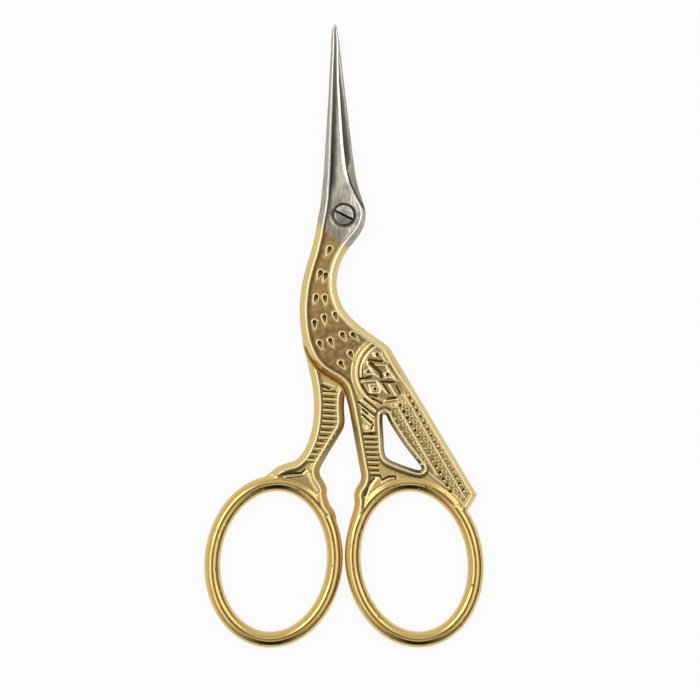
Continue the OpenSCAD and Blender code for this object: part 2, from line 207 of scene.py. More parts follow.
def offset_lines(path, distance, closed=False):
    """The path moved sideways (to its left), broken where it would fold over itself."""
    p = np.asarray(path, float)
    distance = np.broadcast_to(distance, len(p))
    after = np.roll(p, -1, axis=0) - p
    if not closed:
        after[-1] = after[-2]
    before = np.roll(after, 1, axis=0)
    if not closed:
        before[0] = after[0]
    na, nb = (np.stack([-way[:, 1], way[:, 0]], 1) / np.linalg.norm(way, axis=1)[:, None]
              for way in (after, before))
    mitre = (na + nb) / (1 + (na * nb).sum(1))[:, None]
    moved = p + mitre * distance[:, None]
    keep = nearest(moved, p, closed)[0] > np.abs(distance) - 0.02
    if closed and keep.all():
        return [ring_closed(moved)]
    breaks = np.flatnonzero(np.diff(keep.astype(int))) + 1
    runs = zip(np.split(moved, breaks), np.split(keep, breaks))
    return [run for run, kept in runs if kept[0] and len(run) > 1]


def smoothstep(x):
    """0 below 0 and 1 above 1, with a soft rise between."""
    x = np.clip(x, 0, 1)
    return x * x * (3 - 2 * x)


def smooth_min(a, b, k):
    """The smaller of two, with the bend between them rounded over k."""
    h = np.clip(0.5 + 0.5 * (b - a) / k, 0, 1)
    return b + (a - b) * h - k * h * (1 - h)


def smooth_max(a, b, k):
    return -smooth_min(-a, -b, k)


def turned(x, y, centre, degrees):
    """Points turned about the origin and then moved to a centre."""
    c, s = math.cos(math.radians(degrees)), math.sin(math.radians(degrees))
    return np.stack([centre[0] + x * c - y * s, centre[1] + x * s + y * c], 1)


class Rim:
    """Raised border along a path. slope, inner and crest are the breadths of its outer slope,
    its inner slope and its crest, and side is +1 where the metal is left of the path. The
    crest ends short of the path's end by bare, and sinks over sinks before that."""

    def __init__(self, path, slope, inner, crest, side, bare=0, sinks=None):
        self.path, self.side, self.bare, self.sinks = path, side, bare, sinks
        self.closed = sinks is None
        self.breadths = [np.broadcast_to(value, len(path)) for value in (slope, inner, crest)]


class Half:
    """One half of the scissors: its outlines, its rims, and what its faces carry."""
    # Places of the mesh lines across a rim: shares of the outer slope, and distances from
    # the start of the crest and from the foot of the inner slope.
    SLOPE_LINES = (0.3, 0.65)
    CREST_LINES = (-0.12, -0.05, 0.01, 0.07, 0.12, 0.175, 0.23, 0.28, 0.34, 0.4, 0.5)
    FOOT_LINES = (-0.12, -0.05, 0.02, 0.1)

    def __init__(self, is_front, left, right, rims, hole, ring, bore, lap, step):
        self.is_front, self.left, self.right = is_front, left, right
        self.rims, self.hole, self.bore, self.lap, self.step = rims, hole, bore, lap, step
        self.centre, self.lean, join_start, join_end = ring
        bridge = self.oval(0, join_start, join_end, 30)
        self.body = np.vstack([left, bridge, right[::-1]])
        self.ring_line = self.oval(0, count=280)[:-1]
        self.ring_outer = self.oval(BAR)
        self.ring_inner = self.oval(-BAR)

    def oval(self, reach, start=0, end=360, count=140):
        """Curve at a distance (reach) outside the centre line of the finger ring's bar."""
        t = np.radians(np.linspace(start, end, count + 1))
        nx, ny = LONG * np.cos(t), WIDE * np.sin(t)
        size = np.hypot(nx, ny)
        x, y = WIDE * np.cos(t) + reach * nx / size, LONG * np.sin(t) + reach * ny / size
        return turned(x, y, self.centre, self.lean)

    def region(self, p):
        """Which points lie in the metal."""
        in_ring = inside(p, self.ring_outer[:-1]) & ~inside(p, self.ring_inner[:-1])
        solid = inside(p, self.body) | in_ring
        if self.hole is not None:
            solid &= ~inside(p, self.hole)
        return solid & (np.hypot(p[:, 0], p[:, 1]) > self.bore)

    def lines(self):
        """Polylines that the mesh follows: the edges of rims, ring and outline."""
        out = [ring_closed(self.body), self.ring_outer, self.ring_inner]
        for rim in self.rims:
            slope, inner, crest = rim.breadths
            if rim.closed:
                out.append(ring_closed(rim.path))
            reach = [slope * share for share in self.SLOPE_LINES]
            reach += [slope + more for more in self.CREST_LINES]
            reach += [slope + crest + inner + more for more in self.FOOT_LINES]
            for distance in reach:
                out.extend(offset_lines(rim.path, rim.side * distance, rim.closed))
        for angle in [0] + [sign * a for a in range(10, 90, 10) for sign in (-1, 1)]:
            out.append(self.oval(BAR * math.sin(math.radians(angle)), count=110))
        return out

    def relief(self, p, ornament):
        """Height of a face with its rims, how much of a crest each point is, which is polished and
        takes a painted highlight, and how much painted shade it takes as a corner: the foot of a
        crest or the bottom of a groove."""
        ridge = np.full(len(p), FIELD - OUTSIDE)
        cut = np.full(len(p), OUTSIDE)
        crest = np.zeros(len(p))
        foot = np.zeros(len(p))
        for rim in self.rims:
            d, place = nearest(p, rim.path, rim.closed)
            slope, slant, broad = (np.interp(place, np.arange(len(rim.path)), breadth)
                                   for breadth in rim.breadths)
            left_over = (len(rim.path) - 1 - place) * STEP
            fade = 1 if rim.closed else smoothstep((left_over - rim.bare) / rim.sinks)
            sunk = (1 - fade) * 0.8 * (1 - smoothstep((d - 1.4) / 1.2))
            # From the middle of the crest: -1 at its outer edge and 1 at its inner edge.
            along = d - slope - CREST / 2
            along = along / np.where(along > 0, broad - CREST / 2, CREST / 2)
            dome = TOP - sunk - DOME * (broad / CREST) * np.clip(along, 0, 2) ** 2
            inner = FIELD - sunk + (TOP - FIELD) * (slope + broad + slant - d) / slant
            ridge = np.maximum(ridge, smooth_min(dome, inner, 0.04))
            dome = TOP - sunk - DOME * np.clip(-along, 0, 2) ** 2
            outer = SIDE + (TOP - SIDE - sunk * 0.8) * d / np.maximum(slope, 0.02)
            cut = np.minimum(cut, smooth_min(dome, outer, 0.04))
            crest = np.maximum(crest, np.clip(1.6 - np.abs(along), 0, 1) * fade)
            # Painted shade at the foot of the rims shows least beside the right-hand rims.
            depth = 1 if rim.side > 0 or rim.closed else 0.35
            past = d - slope - broad - slant * np.where(slant > INNER + 0.1, 0.4, 0.85)
            foot = np.maximum(foot, depth * fade * np.exp(-(past / (0.1 + slant * 0.4)) ** 2))
        height, bright, dark = ornament(p)
        open_field = smoothstep((FIELD + 0.25 - ridge) / 0.2)
        crest = np.maximum(crest, bright * open_field)
        foot = np.maximum(foot, dark * open_field)
        body = smooth_min(smooth_max(FIELD + height, ridge, 0.08), cut, 0.02)
        in_body = inside(p, self.body) | (nearest(p, self.body, True)[0] < 1e-4)
        body = np.where(in_body, body, -OUTSIDE)
        d = nearest(p, self.ring_line, True)[0]
        bar = np.sqrt(np.maximum(BAR ** 2 - d ** 2, 0))
        bar = np.where(d > BAR + 0.03, -OUTSIDE, bar)
        both = smooth_max(body, bar, 0.4)
        height = np.where(body == -OUTSIDE, bar, np.where(bar == -OUTSIDE, body, both))
        return np.minimum(height, TOP), crest, foot * (bar < FIELD + 0.1)


def column(y, i):
    """A column of the stations down the blades, at any height."""
    return np.interp(-y, -BILL[:, 0], BILL[:, i])


def blade_section(y, is_front):
    """Across a blade: its spine, the way to its edge, its width, and where its crest lies."""
    left, right, edge = column(y, 1), column(y, 2), column(y, 3)
    spine = left if is_front else right
    edge = edge if is_front else left + right - edge
    width = np.maximum(np.abs(edge - spine), 0.05)
    t = np.clip((TIP_Y - y) / 32, 0, 1)
    start = np.minimum(0.4 + (SLOPE - 0.4) * t * t, width * 0.35)
    return spine, 1 if is_front else -1, width, start, start + np.minimum(0.3, width * 0.12)


# The hollow-ground outer face, from the crest to the bevel: share of the way across, and
# height as a share of the crest's. The bevel falls to the cutting edge.
GROUND_FACE = [(0.1, 0.8), (0.28, 0.56), (0.48, 0.36)]
EDGE_Z = 0.08


def bevel_start(width, face):
    return width - np.minimum(0.3, 0.2 * face)


def blade_relief(p, is_front):
    """Height of a blade's outer face: spine slope, crest, hollow-ground face and bevel. With it go
    how much of a crest each point is, which takes a painted highlight there and along the bevel,
    and how much painted shade lies at the foot of the crest."""
    y = p[:, 1]
    spine, way, w, start, end = blade_section(y, is_front)
    face = w - end
    crest = np.minimum(TOP, 0.5 + (TOP - 0.5) * np.minimum(1, (TIP_Y - y) / 31))
    knots = [0 * w, start, end] + [end + share * face for share, _ in GROUND_FACE]
    knots += [bevel_start(w, face), w]
    heights = [np.minimum(SIDE, crest * 0.5), crest, crest]
    heights += [crest * high for _, high in GROUND_FACE]
    heights += [crest * 0.06 + EDGE_Z, EDGE_Z + 0 * w]
    u = (p[:, 0] - spine) * way

    def profile(u):
        h = heights[-1]
        for i in range(len(knots) - 2, -1, -1):
            f = np.clip((u - knots[i]) / np.maximum(knots[i + 1] - knots[i], 1e-6), 0, 1)
            h = np.where(u < knots[i + 1], heights[i] + (heights[i + 1] - heights[i]) * f, h)
        return h
    soft = 0.07
    height = (profile(u) * 2 + profile(np.minimum(u + soft, w))
              + profile(np.maximum(u - soft, 0))) / 4
    is_crest = np.clip(1 - np.abs(u - (start + end) / 2) / 0.3, 0, 1)
    is_crest = np.maximum(is_crest, smoothstep((u - w + 0.45) / 0.2))
    past = np.maximum(u - end - 0.06 * face, 0)
    dark = smoothstep((u - end + 0.04) / 0.1) * np.exp(-(past / (0.27 * face)) ** 2)
    return height, is_crest, dark


def blade_lines(is_front):
    """Polylines along a blade at the knots of its profile."""
    ys = np.concatenate([np.arange(TIP_Y, 34.2, -0.2), np.arange(34.2, -0.5, -0.5)])
    spine, way, w, start, end = blade_section(ys, is_front)
    face = w - end
    places = [start * 0.5, start - 0.08, start, start + 0.07, end - 0.07, end, end + 0.07]
    places += [end + share * face for share in (0.1, 0.28, 0.48, 0.7)]
    lines = []
    for at in places + [bevel_start(w, face)]:
        keep = (at < w - 0.01) & (at > 0.01)
        lines.append(np.stack([spine + way * at, ys], 1)[keep])
    return [line for line in lines if len(line) > 1]


def hollow(p, is_front):
    """Depth of the hollow grinding on the flat inner face of a blade, and where it is."""
    y = p[:, 1]
    spine, way, w, _, _ = blade_section(y, is_front)
    u = (p[:, 0] - spine) * way
    land = 0.3 + 2.6 * smoothstep((11 - y) / 7)
    wide = w > land + 0.2
    f = np.clip((u - land) / np.maximum(w - land - 0.12, 0.1), 0, 1)
    depth = 0.13 * smoothstep((y - 5) / 4)
    ground = smoothstep((u - land) / 0.3) * smoothstep((w - u) / 0.2) * smoothstep((y - 4) / 3)
    return depth * np.sin(np.pi * f) ** 0.8 * wide, ground * wide


def dense_points(region, rails, patches, base):
    """Points between the rails: a hexagonal grid, finer inside each patch."""
    rail_points = np.vstack(rails)
    tree = kd_tree(rail_points)
    fine = [np.asarray(outline, float) for outline, _ in patches]
    out = []
    for spacing, outline in [(base, None)] + [(patch[1], q) for patch, q in zip(patches, fine)]:
        area = rail_points if outline is None else outline
        (x0, y0), (x1, y1) = area.min(0), area.max(0)
        rows = enumerate(np.arange(y0, y1, spacing * 0.866))
        grid = np.array([(x, y) for k, y in rows
                         for x in np.arange(x0 + (k % 2) * spacing / 2, x1, spacing)])
        if outline is None:
            for other in fine:
                grid = grid[~inside(grid, other)]
        else:
            grid = grid[inside(grid, outline)]
        grid = grid[region(grid)]
        far = np.array([tree.find((x, y, 0))[2] > 0.42 * spacing for x, y in grid], bool)
        out.append(grid[far])
    return np.vstack(out)


def plan_mesh(region, rails, patches, base=0.4):
    """Flat triangle mesh of a region that follows the rails."""
    points, edges = [], []
    for line in rails:
        edges.extend((len(points) + i, len(points) + i + 1) for i in range(len(line) - 1))
        points.extend(line)
    points.extend(dense_points(region, rails, patches, base))
    verts, _, faces, *_ = delaunay_2d_cdt(
        [Vector((float(x), float(y))) for x, y in points], edges, [], 0, 1e-4)
    verts = np.array([tuple(v) for v in verts])
    tris = np.array([f for f in faces if len(f) == 3])
    tris = tris[region(verts[tris].mean(1))]
    used, tris = np.unique(tris, return_inverse=True)
    verts, tris = verts[used], tris.reshape(-1, 3)
    a, b, c = verts[tris[:, 0]], verts[tris[:, 1]], verts[tris[:, 2]]
    turn = (b[:, 0] - a[:, 0]) * (c[:, 1] - a[:, 1]) - (b[:, 1] - a[:, 1]) * (c[:, 0] - a[:, 0])
    tris[turn < 0] = tris[turn < 0][:, ::-1]
    return verts, tris[np.abs(turn) > 1e-9]


def solid_mesh(name, verts, tris, top, bottom, layers):
    """Closed mesh between two heights over a flat mesh, with point layers on it."""
    used, tris = np.unique(tris, return_inverse=True)
    tris = tris.reshape(-1, 3)
    flat, top, bottom = verts[used], top[used], bottom[used]
    count = len(used)
    # The lower point under each upper one, which is the same point where the two meet.
    low = np.where(np.abs(top - bottom) < 1e-6, 0, count) + np.arange(count)
    edges = np.vstack([tris[:, [0, 1]], tris[:, [1, 2]], tris[:, [2, 0]]])
    edges = dict.fromkeys(map(tuple, edges.tolist()))
    faces = tris.tolist() + low[tris[:, ::-1]].tolist()
    for a, b in edges:
        if (b, a) not in edges:
            loop = [a, int(low[a]), int(low[b]), b]
            loop = [v for i, v in enumerate(loop) if v != loop[i - 1]]
            if len(loop) > 2:
                faces.append(loop)
    points = np.vstack([np.column_stack([flat, top]), np.column_stack([flat, bottom])])
    points[:, 2] += PARTING
    mesh = bpy.data.meshes.new(name)
    mesh.from_pydata((points * MM).tolist(), [], faces)
    for layer, (up, down) in layers.items():
        values = np.concatenate([up[used], down[used]]).astype(np.float32)
        mesh.attributes.new(layer, "FLOAT", "POINT").data.foreach_set("value", values)
    mesh.validate()
    mesh.shade_smooth()
    mesh.set_sharp_from_angle(angle=math.radians(62))
    return linked(name, mesh)


def linked(name, data):
    """A new object in the scene."""
    obj = bpy.data.objects.new(name, data)
    bpy.context.scene.collection.objects.link(obj)
    return obj


def seed_half(u):
    """Half the width of a feather mark, at a distance from its round end's centre."""
    return SEED_R * (1 - np.clip(u / SEED_LONG, 0, 1)) ** 0.8


def seed_outline(x, y, turn, grow=0.0):
    """Outline of a feather mark: round at one end, drawn to a point at the other."""
    t = np.radians(np.arange(70, 291, 20))
    sides = np.array([0.5, 1, SEED_LONG, 1, 0.5])
    u = np.concatenate([SEED_R * np.cos(t), sides])
    v = np.concatenate([SEED_R * np.sin(t), seed_half(sides) * (-1, -1, -1, 1, 1)])
    middle = 0.4
    u, v = middle + (u - middle) * (1 + grow), v * (1 + grow * 1.4)
    return ring_closed(turned(u, v, (x, y), turn))


# What a face carries comes as three rows: relief, how polished it is, which also pales it as a
# painted highlight, and how much painted shade darkens it.
def teardrops(p, marks):
    """Feather marks: a raised lip round each, deep at the round end, shallow at the point."""
    out = np.zeros((3, len(p)))
    for x, y, turn in marks:
        c, s = math.cos(math.radians(turn)), math.sin(math.radians(turn))
        u, v = (p - (x, y)) @ (c, s), (p - (x, y)) @ (-s, c)
        near = u * u + v * v < 6
        u, v = u[near], v[near]
        d = np.where(u < 0, np.hypot(u, v) - SEED_R, np.abs(v) - seed_half(u))
        d = np.where(u > SEED_LONG, np.hypot(u - SEED_LONG, v), d)
        # The lip, and the pit towards the point, take a painted highlight; the pit's round end
        # takes painted shade.
        lip = np.exp(-((d - 0.06) / 0.14) ** 2)
        far_end = np.clip(u / SEED_LONG + 0.15, 0, 1)
        pit = smoothstep(-d / 0.24)
        polished = np.maximum(0.85 * lip, 0.6 * pit * smoothstep(far_end * 3 - 0.5))
        dark = 0.75 * pit * (1 - smoothstep(far_end * 3.2 - 0.1))
        out[0, near] += 0.16 * lip - (0.42 - 0.34 * far_end) * pit
        out[1:, near] = np.maximum(out[1:, near], [polished, dark])
    return out


def line_mask(p, path, width):
    """1 on a line, falling smoothly to 0 at half a width from it."""
    path = np.asarray(path, float)
    out = np.zeros(len(p))
    near = ((p > path.min(0) - width) & (p < path.max(0) + width)).all(1)
    best = np.full(near.sum(), np.inf)
    for a, b in zip(path[:-1], path[1:]):
        ap, ab = p[near] - a, b - a
        t = np.clip(ap @ ab / (ab @ ab), 0, 1)
        best = np.minimum(best, np.linalg.norm(ap - np.outer(t, ab), axis=1))
    out[near] = 1 - smoothstep(best / (width / 2))
    return out


WING = (8.7, -29.1)
WING_R = 7.3


def arc(radius, start, end):
    """Arc round the middle of the wing."""
    t = np.radians(np.linspace(start, end, 25))
    return np.stack([WING[0] + radius * np.cos(t), WING[1] + radius * np.sin(t)], 1)


def row(start, end, pitch, shift=0.0):
    """Points at a pitch along a straight line."""
    start, end = np.array(start), np.array(end)
    length = np.linalg.norm(end - start)
    return [start + (end - start) * at / length for at in np.arange(shift, length, pitch)]


def punched(p, places, radius, depth, lip=0.0):
    """Round punch marks, with painted shade in each pit, with or without a raised lip that takes a
    painted highlight.
    """
    out = np.zeros((3, len(p)))
    for place in places:
        r = np.hypot(*(p - place).T)
        pit = smoothstep((radius - r) / (radius * 0.7))
        ring = np.exp(-((r - radius - 0.04) / 0.12) ** 2)
        out[0] += lip * ring - depth * pit
        out[1] = np.maximum(out[1], ring * (lip > 0))
        out[2] = np.maximum(out[2], pit)
    return out


# Raised lines and cut grooves of the wing, the thigh and the webs over the rings.
WING_ARCS = [arc(6.45, 118, 242), arc(5.45, 112, 188)]
ARC_GROOVES = [arc(5.95, 120, 236), [(3.5, -27.7), (3.4, -29), (3.5, -30.05)]]
WING_LINES = [
    [(5.4, -25.5), (5.5, -26.1), (6.1, -26.35)],
    [(7.1, -24.4), (7, -25.8), (7.6, -26.9), (8.4, -27.4)],
    [(4.3, -27.05), (4.4, -27.7), (5.7, -29.5), (6.5, -30)],
    [(5.9, -27.7), (7.7, -27.9), (8.3, -27.7)],
    [(7.7, -27.9), (9.4, -30.4), (10.2, -30.75)],
    [(7.4, -29.4), (7.8, -30.15), (8.6, -30)],
    [(3.9, -29), (4.4, -29.6), (5.2, -29.4)],
    [(3.3, -30.9), (5.9, -30.6), (7.9, -32.9)],
    [(4.7, -31.4), (6.2, -31.3), (6.8, -32.3), (6.4, -32.9), (5.1, -32.9), (4.7, -31.4)],
    [(8.4, -31.4), (9.6, -33.4)],
    [(7.6, -34.4), (9.7, -34.1)]]
WING_GROOVES = [
    [(4.6, -26.75), (7.1, -27.05)],
    [(3.05, -30.25), (5.1, -29.95)],
    [(6.8, -30.8), (9.3, -30.85)],
    [(3.4, -31.4), (4.5, -33.1), (6.2, -33.5)],
    [(7.3, -31.2), (8.5, -33)],
    [(9.7, -31.5), (10.4, -33)],
    [(8.05, -33.95), (9.7, -33.7)],
    [(5.4, -33.9), (7.1, -34.8)]]
WIDE_GROOVES = [
    [(5, -27.4), (6.7, -29), (7, -29.9)],
    [(8.5, -27.8), (10.2, -30.2)]]
WING_PITS = [(6.15, -25.7), (8.05, -29.4), (4.5, -28.9), (5.75, -32.1)]
THIGH_LINES = [
    [(3.3, -34.25), (5.9, -36.4)],
    [(2.95, -35), (5.3, -37.2)],
    [(3.3, -36.3), (5.2, -37.9)],
    [(3.4, -37.2), (4.8, -38.7)],
    [(5.8, -38), (5.4, -39.7)],
    [(3.5, -38.8), (3.6, -39.4), (4, -39.7), (4.4, -39.4), (4.2, -39)],
    [(3.6, -40.05), (5.9, -39.9)]]
THIGH_GROOVES = [
    [(3.7, -33.9), (6.3, -36)],
    [(2.7, -34.5), (5.7, -36.95)],
    [(3.5, -35.9), (4.4, -36.7)],
    [(3.5, -36.9), (5.1, -38.35)],
    [(5.4, -38.6), (5.05, -39.5)],
    [(3.3, -40.4), (4.9, -40.25), (6.3, -40.3)]]
FRONT_WEB_LINES = [
    [(6.2, -48.6), (5.3, -49.9), (4.5, -51.2), (4.2, -52.6)],
    [(7.2, -49.4), (8.3, -48.75), (9.3, -48.7)]]
FRONT_WEB_GROOVES = [
    [(6.7, -48.1), (7.1, -48.9), (8.2, -48.3), (9.5, -48.25), (9.6, -48.8)],
    [(5.6, -48.5), (4.5, -50), (3.9, -51.8)]]
BACK_WEB_LINES = [
    [(-4.5, -31), (-3.2, -31.3), (-2.1, -31.7)],
    [(-10.8, -48.4), (-9, -48.2), (-7.4, -47.9), (-6.8, -47.3)],
    [(-6.5, -47.8), (-5.9, -49.4), (-4.9, -51)]]
BACK_WEB_GROOVES = [
    [(-4.7, -31.4), (-3.6, -31.7), (-2.7, -32.1)],
    [(-11.3, -47.9), (-9.5, -47.7), (-7.9, -47.6), (-7.2, -47)],
    [(-6.2, -47.2), (-5.4, -48.6), (-4.7, -50.2), (-4.5, -51.5)]]
# Ridges that part the bands of the tail: (x, y) from the wing to the tail's end.
TAIL_RIDGES = [[(9.6, -34.9), (13.2, -41.2), (17.2, -48.05)],
               [(11.2, -33.3), (15.1, -40.1), (18.1, -45.1), (22.3, -52.2)],
               [(14.5, -46.6), (16.6, -48.4), (19.2, -50.4), (21.7, -53)]]


def chased(p, lines, grooves, height=0.12, depth=0.3, groove_width=GROOVE_W):
    """Raised lines, which take a painted highlight, and grooves cut between them, which take
    painted shade.
    """
    bright, dark = np.zeros(len(p)), np.zeros(len(p))
    for line in lines:
        bright = np.maximum(bright, line_mask(p, line, LINE_W))
    for line in grooves:
        dark = np.maximum(dark, line_mask(p, line, groove_width))
    return np.stack([height * bright - depth * dark, np.minimum(1, bright * 1.8),
                     np.minimum(1, dark * 1.3)])


def level(mask, height=0.0, dark=0.0):
    """A whole area raised or darkened."""
    return np.stack([height * mask, 0.0 * mask, dark * mask])


def layered(parts):
    """Reliefs add up; of the polished and dark rows the strongest shows."""
    parts = np.array(parts)
    return parts[:, 0].sum(0), parts[:, 1].max(0), parts[:, 2].max(0)


# Rows along the tail: oval rings, and beside them beads with a punch mark between two.
RING_ROWS = [[(9.15, -35.2), (15.3, -45.6)], [(11.05, -34.6), (21.3, -52)],
             [(12.95, -33.7), (22.9, -50.8)]]
BEAD_ROWS = [[(8.7, -36.4), (14.3, -46)], [(10.1, -34.6), (20, -51.5)],
             [(11.9, -33.2), (22.2, -51)]]
TAIL_PUNCHES = [place for ends in BEAD_ROWS for place in row(*ends, BEAD_PITCH, BEAD_PITCH / 2)]
FRONT_LEG_DOTS = row((3.28, -40.75), (4.5, -47.9), 0.62)
BACK_LEG_DOTS = (row((-4.15, -32.9), (-4.15, -36.6), 0.62)
                 + row((-4.2, -37.2), (-5.1, -41.4), 0.62)
                 + row((-5.4, -42), (-6.9, -44.6), 0.62))
# Areas: the raised wing, the ground inside its arcs, the tail and the left half's web.
WING_AREA = np.vstack([arc(WING_R, 100, 240), [(5.2, -36), (14.5, -35.5), (12, -29), (9, -24.6)]])
WING_GROUND = np.vstack([arc(5.1, 112, 240), [(9.2, -34.4), (10.9, -32.6), (10.4, -31),
                                              (7.9, -26.2)]])
TAIL_AREA = [(8.3, -36), (12.2, -34.95), (11.4, -32.9), (12.3, -32.5), (23.6, -51.6),
             (22.4, -53.4), (14.6, -47.2)]
WEB_AREA = [(-12.8, -48), (-9.4, -47.4), (-6.6, -48.6), (-5.2, -51.2), (-8.4, -50.2),
            (-11, -49.2)]


def boss(p):
    """The field beside the screw falls away towards the back edge."""
    near = smoothstep((5.5 - np.abs(p[:, 1])) / 3)
    return level(near, -0.2 * np.clip(p[:, 0] - 0.3, 0, 2.8))


def front_ornament(p):
    height, bright, dark = layered([
        teardrops(p, FEATHERS),
        boss(p),
        level(inside(p, WING_AREA), 0.08),
        chased(p, WING_ARCS, ARC_GROOVES, 0.11, 0.16, 0.4),
        chased(p, WING_LINES, WING_GROOVES, 0.11, 0.3, 0.5),
        chased(p, [], WIDE_GROOVES, depth=0.36, groove_width=0.95),
        chased(p, THIGH_LINES, THIGH_GROOVES, 0.11),
        chased(p, TAIL_RIDGES, [], 0.14),
        chased(p, FRONT_WEB_LINES, FRONT_WEB_GROOVES),
        chased(p, [], front_gaps, depth=0.2, groove_width=0.22),
        punched(p, WING_PITS, 0.36, 0.34, 0.16),
        punched(p, TAIL_PUNCHES, 0.34, 0.4),
        punched(p, FRONT_LEG_DOTS, 0.2, 0.22)])
    # The ground between the raised work of the wing and tail takes painted shade.
    for area in (WING_GROUND, TAIL_AREA):
        dark = np.maximum(dark, 0.5 * inside(p, area) * (1 - bright))
    return height, bright, dark


def back_ornament(p):
    return layered([
        teardrops(p, FEATHERS),
        level(inside(p, WEB_AREA), dark=0.35),
        chased(p, BACK_WEB_LINES, BACK_WEB_GROOVES),
        chased(p, [], back_gaps, depth=0.2, groove_width=0.28),
        punched(p, BACK_LEG_DOTS, 0.2, 0.22)])


def blade_side(edge, beyond):
    """A side from the tip down: straight facets along the blade, then a smooth curve."""
    points = np.stack([edge, BILL[:, 0]], 1)
    facets = 8
    upper = straight_path(points[:facets + 1], 0.5)
    lower = smooth_path(list(points[facets:]) + beyond)
    return joined(upper, lower)


_, left_edge, right_edge, cutting_edge = BILL.T
front_left = joined(blade_side(left_edge, NECK_LEFT + FRONT_BREAST + FRONT_LEG),
                    straight_path([FRONT_LEG[-1], (2.2, -58.6)]))
front_right = joined(blade_side(cutting_edge, NECK_RIGHT + FRONT_BACK),
                     straight_path([FRONT_BACK[-1], TAIL_ROOT, TAIL_TIP, TAIL_END, (21.6, -55.3)]))
back_left = joined(blade_side(left_edge + right_edge - cutting_edge, NECK_LEFT + BACK_LEG_LEFT),
                   straight_path([BACK_LEG_LEFT[-1], (-21.2, -54.7)]))
back_right = joined(blade_side(right_edge, NECK_RIGHT + BACK_SHOULDER),
                    straight_path([BACK_SHOULDER[-1], BACK_CORNER, BACK_BELLY[0]]),
                    smooth_path(BACK_BELLY + BACK_LEG_RIGHT),
                    straight_path([BACK_LEG_RIGHT[-1], (-2.45, -58.3)]))
hole_path = smooth_path(TAIL_HOLE, 0.25, closed=True)


def below(path, y):
    return path[path[:, 1] < y]


def rim_slope(path):
    """Width of a rim's outer slope: it starts at nothing where the cutting edge ends."""
    return np.interp(-path[:, 1], (-2.6, -1.8, -0.8, 0.2, 1.3, 3, 5),
                     (0.06, 0.18, 0.45, 0.62, 0.72, 0.85, 1))


def rim_inner(path):
    """Width of a rim's inner slope: wider beside the pivot, where it runs into the blade."""
    return INNER + 0.4 * smoothstep((path[:, 1] + 4.5) / 5)


def leg_lines(left, right, top, pitch, count, tilt):
    """Lines across a leg between its two rims."""
    out = []
    for y in top - pitch * np.arange(count):
        x0 = np.interp(-y, -left[:, 1], left[:, 0]) + SLOPE + CREST + 0.3
        x1 = np.interp(-y, -right[:, 1], right[:, 0]) - 1
        out.append([(x0, y + tilt), ((x0 + x1) / 2, y + tilt * 0.3), (x1, y - tilt)])
    return out


# Where each half is cut down to half its thickness for the other to lie on.
belly = offset_lines(straight_path(BACK_BELLY), LAP_GAP)[0]
breast = offset_lines(smooth_path([NECK_LEFT[-1]] + FRONT_BREAST), -LAP_GAP)[0]
front_step = joined([(20, -24.9), (8.9, -24.9)], belly, [(0.5, -34.4), (-20, -34.4)])
back_step = joined([(-20, -22.6)], breast, [(0.3, -34.2), (20, -34.2)])
front_lap = np.vstack([[(-20, 50), (20, 50)], front_step])
back_lap = np.vstack([[(20, 50), (-20, 50)], back_step])

# The rim along the neck's right side and the tail: its crest is broader on the neck, its
# outer slope narrower along the tail, its inner slope wider beside the screw.
spine_rim = below(front_right, RIM_Y)
spine_y = spine_rim[:, 1]
on_tail = smoothstep((-28.5 - spine_y) / 4)
on_neck = smoothstep((-spine_y - 4.5) / 4) * smoothstep((spine_y + 27) / 5)
spine_slope = rim_slope(spine_rim) + (TAIL_SLOPE - SLOPE) * on_tail - 0.3 * on_neck
spine_inner = INNER + 0.7 * smoothstep((4.8 - np.abs(spine_y + 0.4)) / 3)
breast_rim, nape_rim = below(front_left, RIM_Y), below(back_right, RIM_Y)
throat_rim = below(back_left, RIM_Y)
front = Half(True, front_left, front_right,
             [Rim(breast_rim, SLOPE, rim_inner(breast_rim), CREST, 1, 2.6, 3.4),
              Rim(spine_rim, spine_slope, spine_inner, CREST + 0.3 * on_neck, -1, 0.4, 1.2),
              Rim(hole_path, 0.6, INNER, CREST, -1)],
             hole_path, ((13, -64), 8.6, 150, 30), BORE_R, front_lap, front_step)
back = Half(False, back_left, back_right,
            [Rim(throat_rim, rim_slope(throat_rim), INNER, CREST, 1, 9.5, 4),
             Rim(nape_rim, SLOPE, rim_inner(nape_rim), CREST, -1, 2.6, 3.4)],
            None, ((-13, -64), -6.5, 145, 30), SHANK_R, back_lap, back_step)
hole_side = hole_path[(hole_path[:, 0] < 7.6) & (hole_path[:, 1] > -44.8)]
hole_side = hole_side[np.argsort(-hole_side[:, 1])]
front_leg = below(front_left, -33.5), hole_side
back_leg = below(back_left, -24), below(back_right, -33.5)
front_ribs = leg_lines(*front_leg, -41, 0.95, 8, 0.03)
front_gaps = leg_lines(*front_leg, -40.52, 0.95, 9, 0.03)
back_ribs = leg_lines(*back_leg, -33.1, 1.02, 13, 0.12)
back_gaps = leg_lines(*back_leg, -32.6, 1.02, 13, 0.12)


def circle(radius, count=64):
    t = np.linspace(0, 2 * np.pi, count + 1)
    return np.stack([radius * np.cos(t), radius * np.sin(t)], 1)


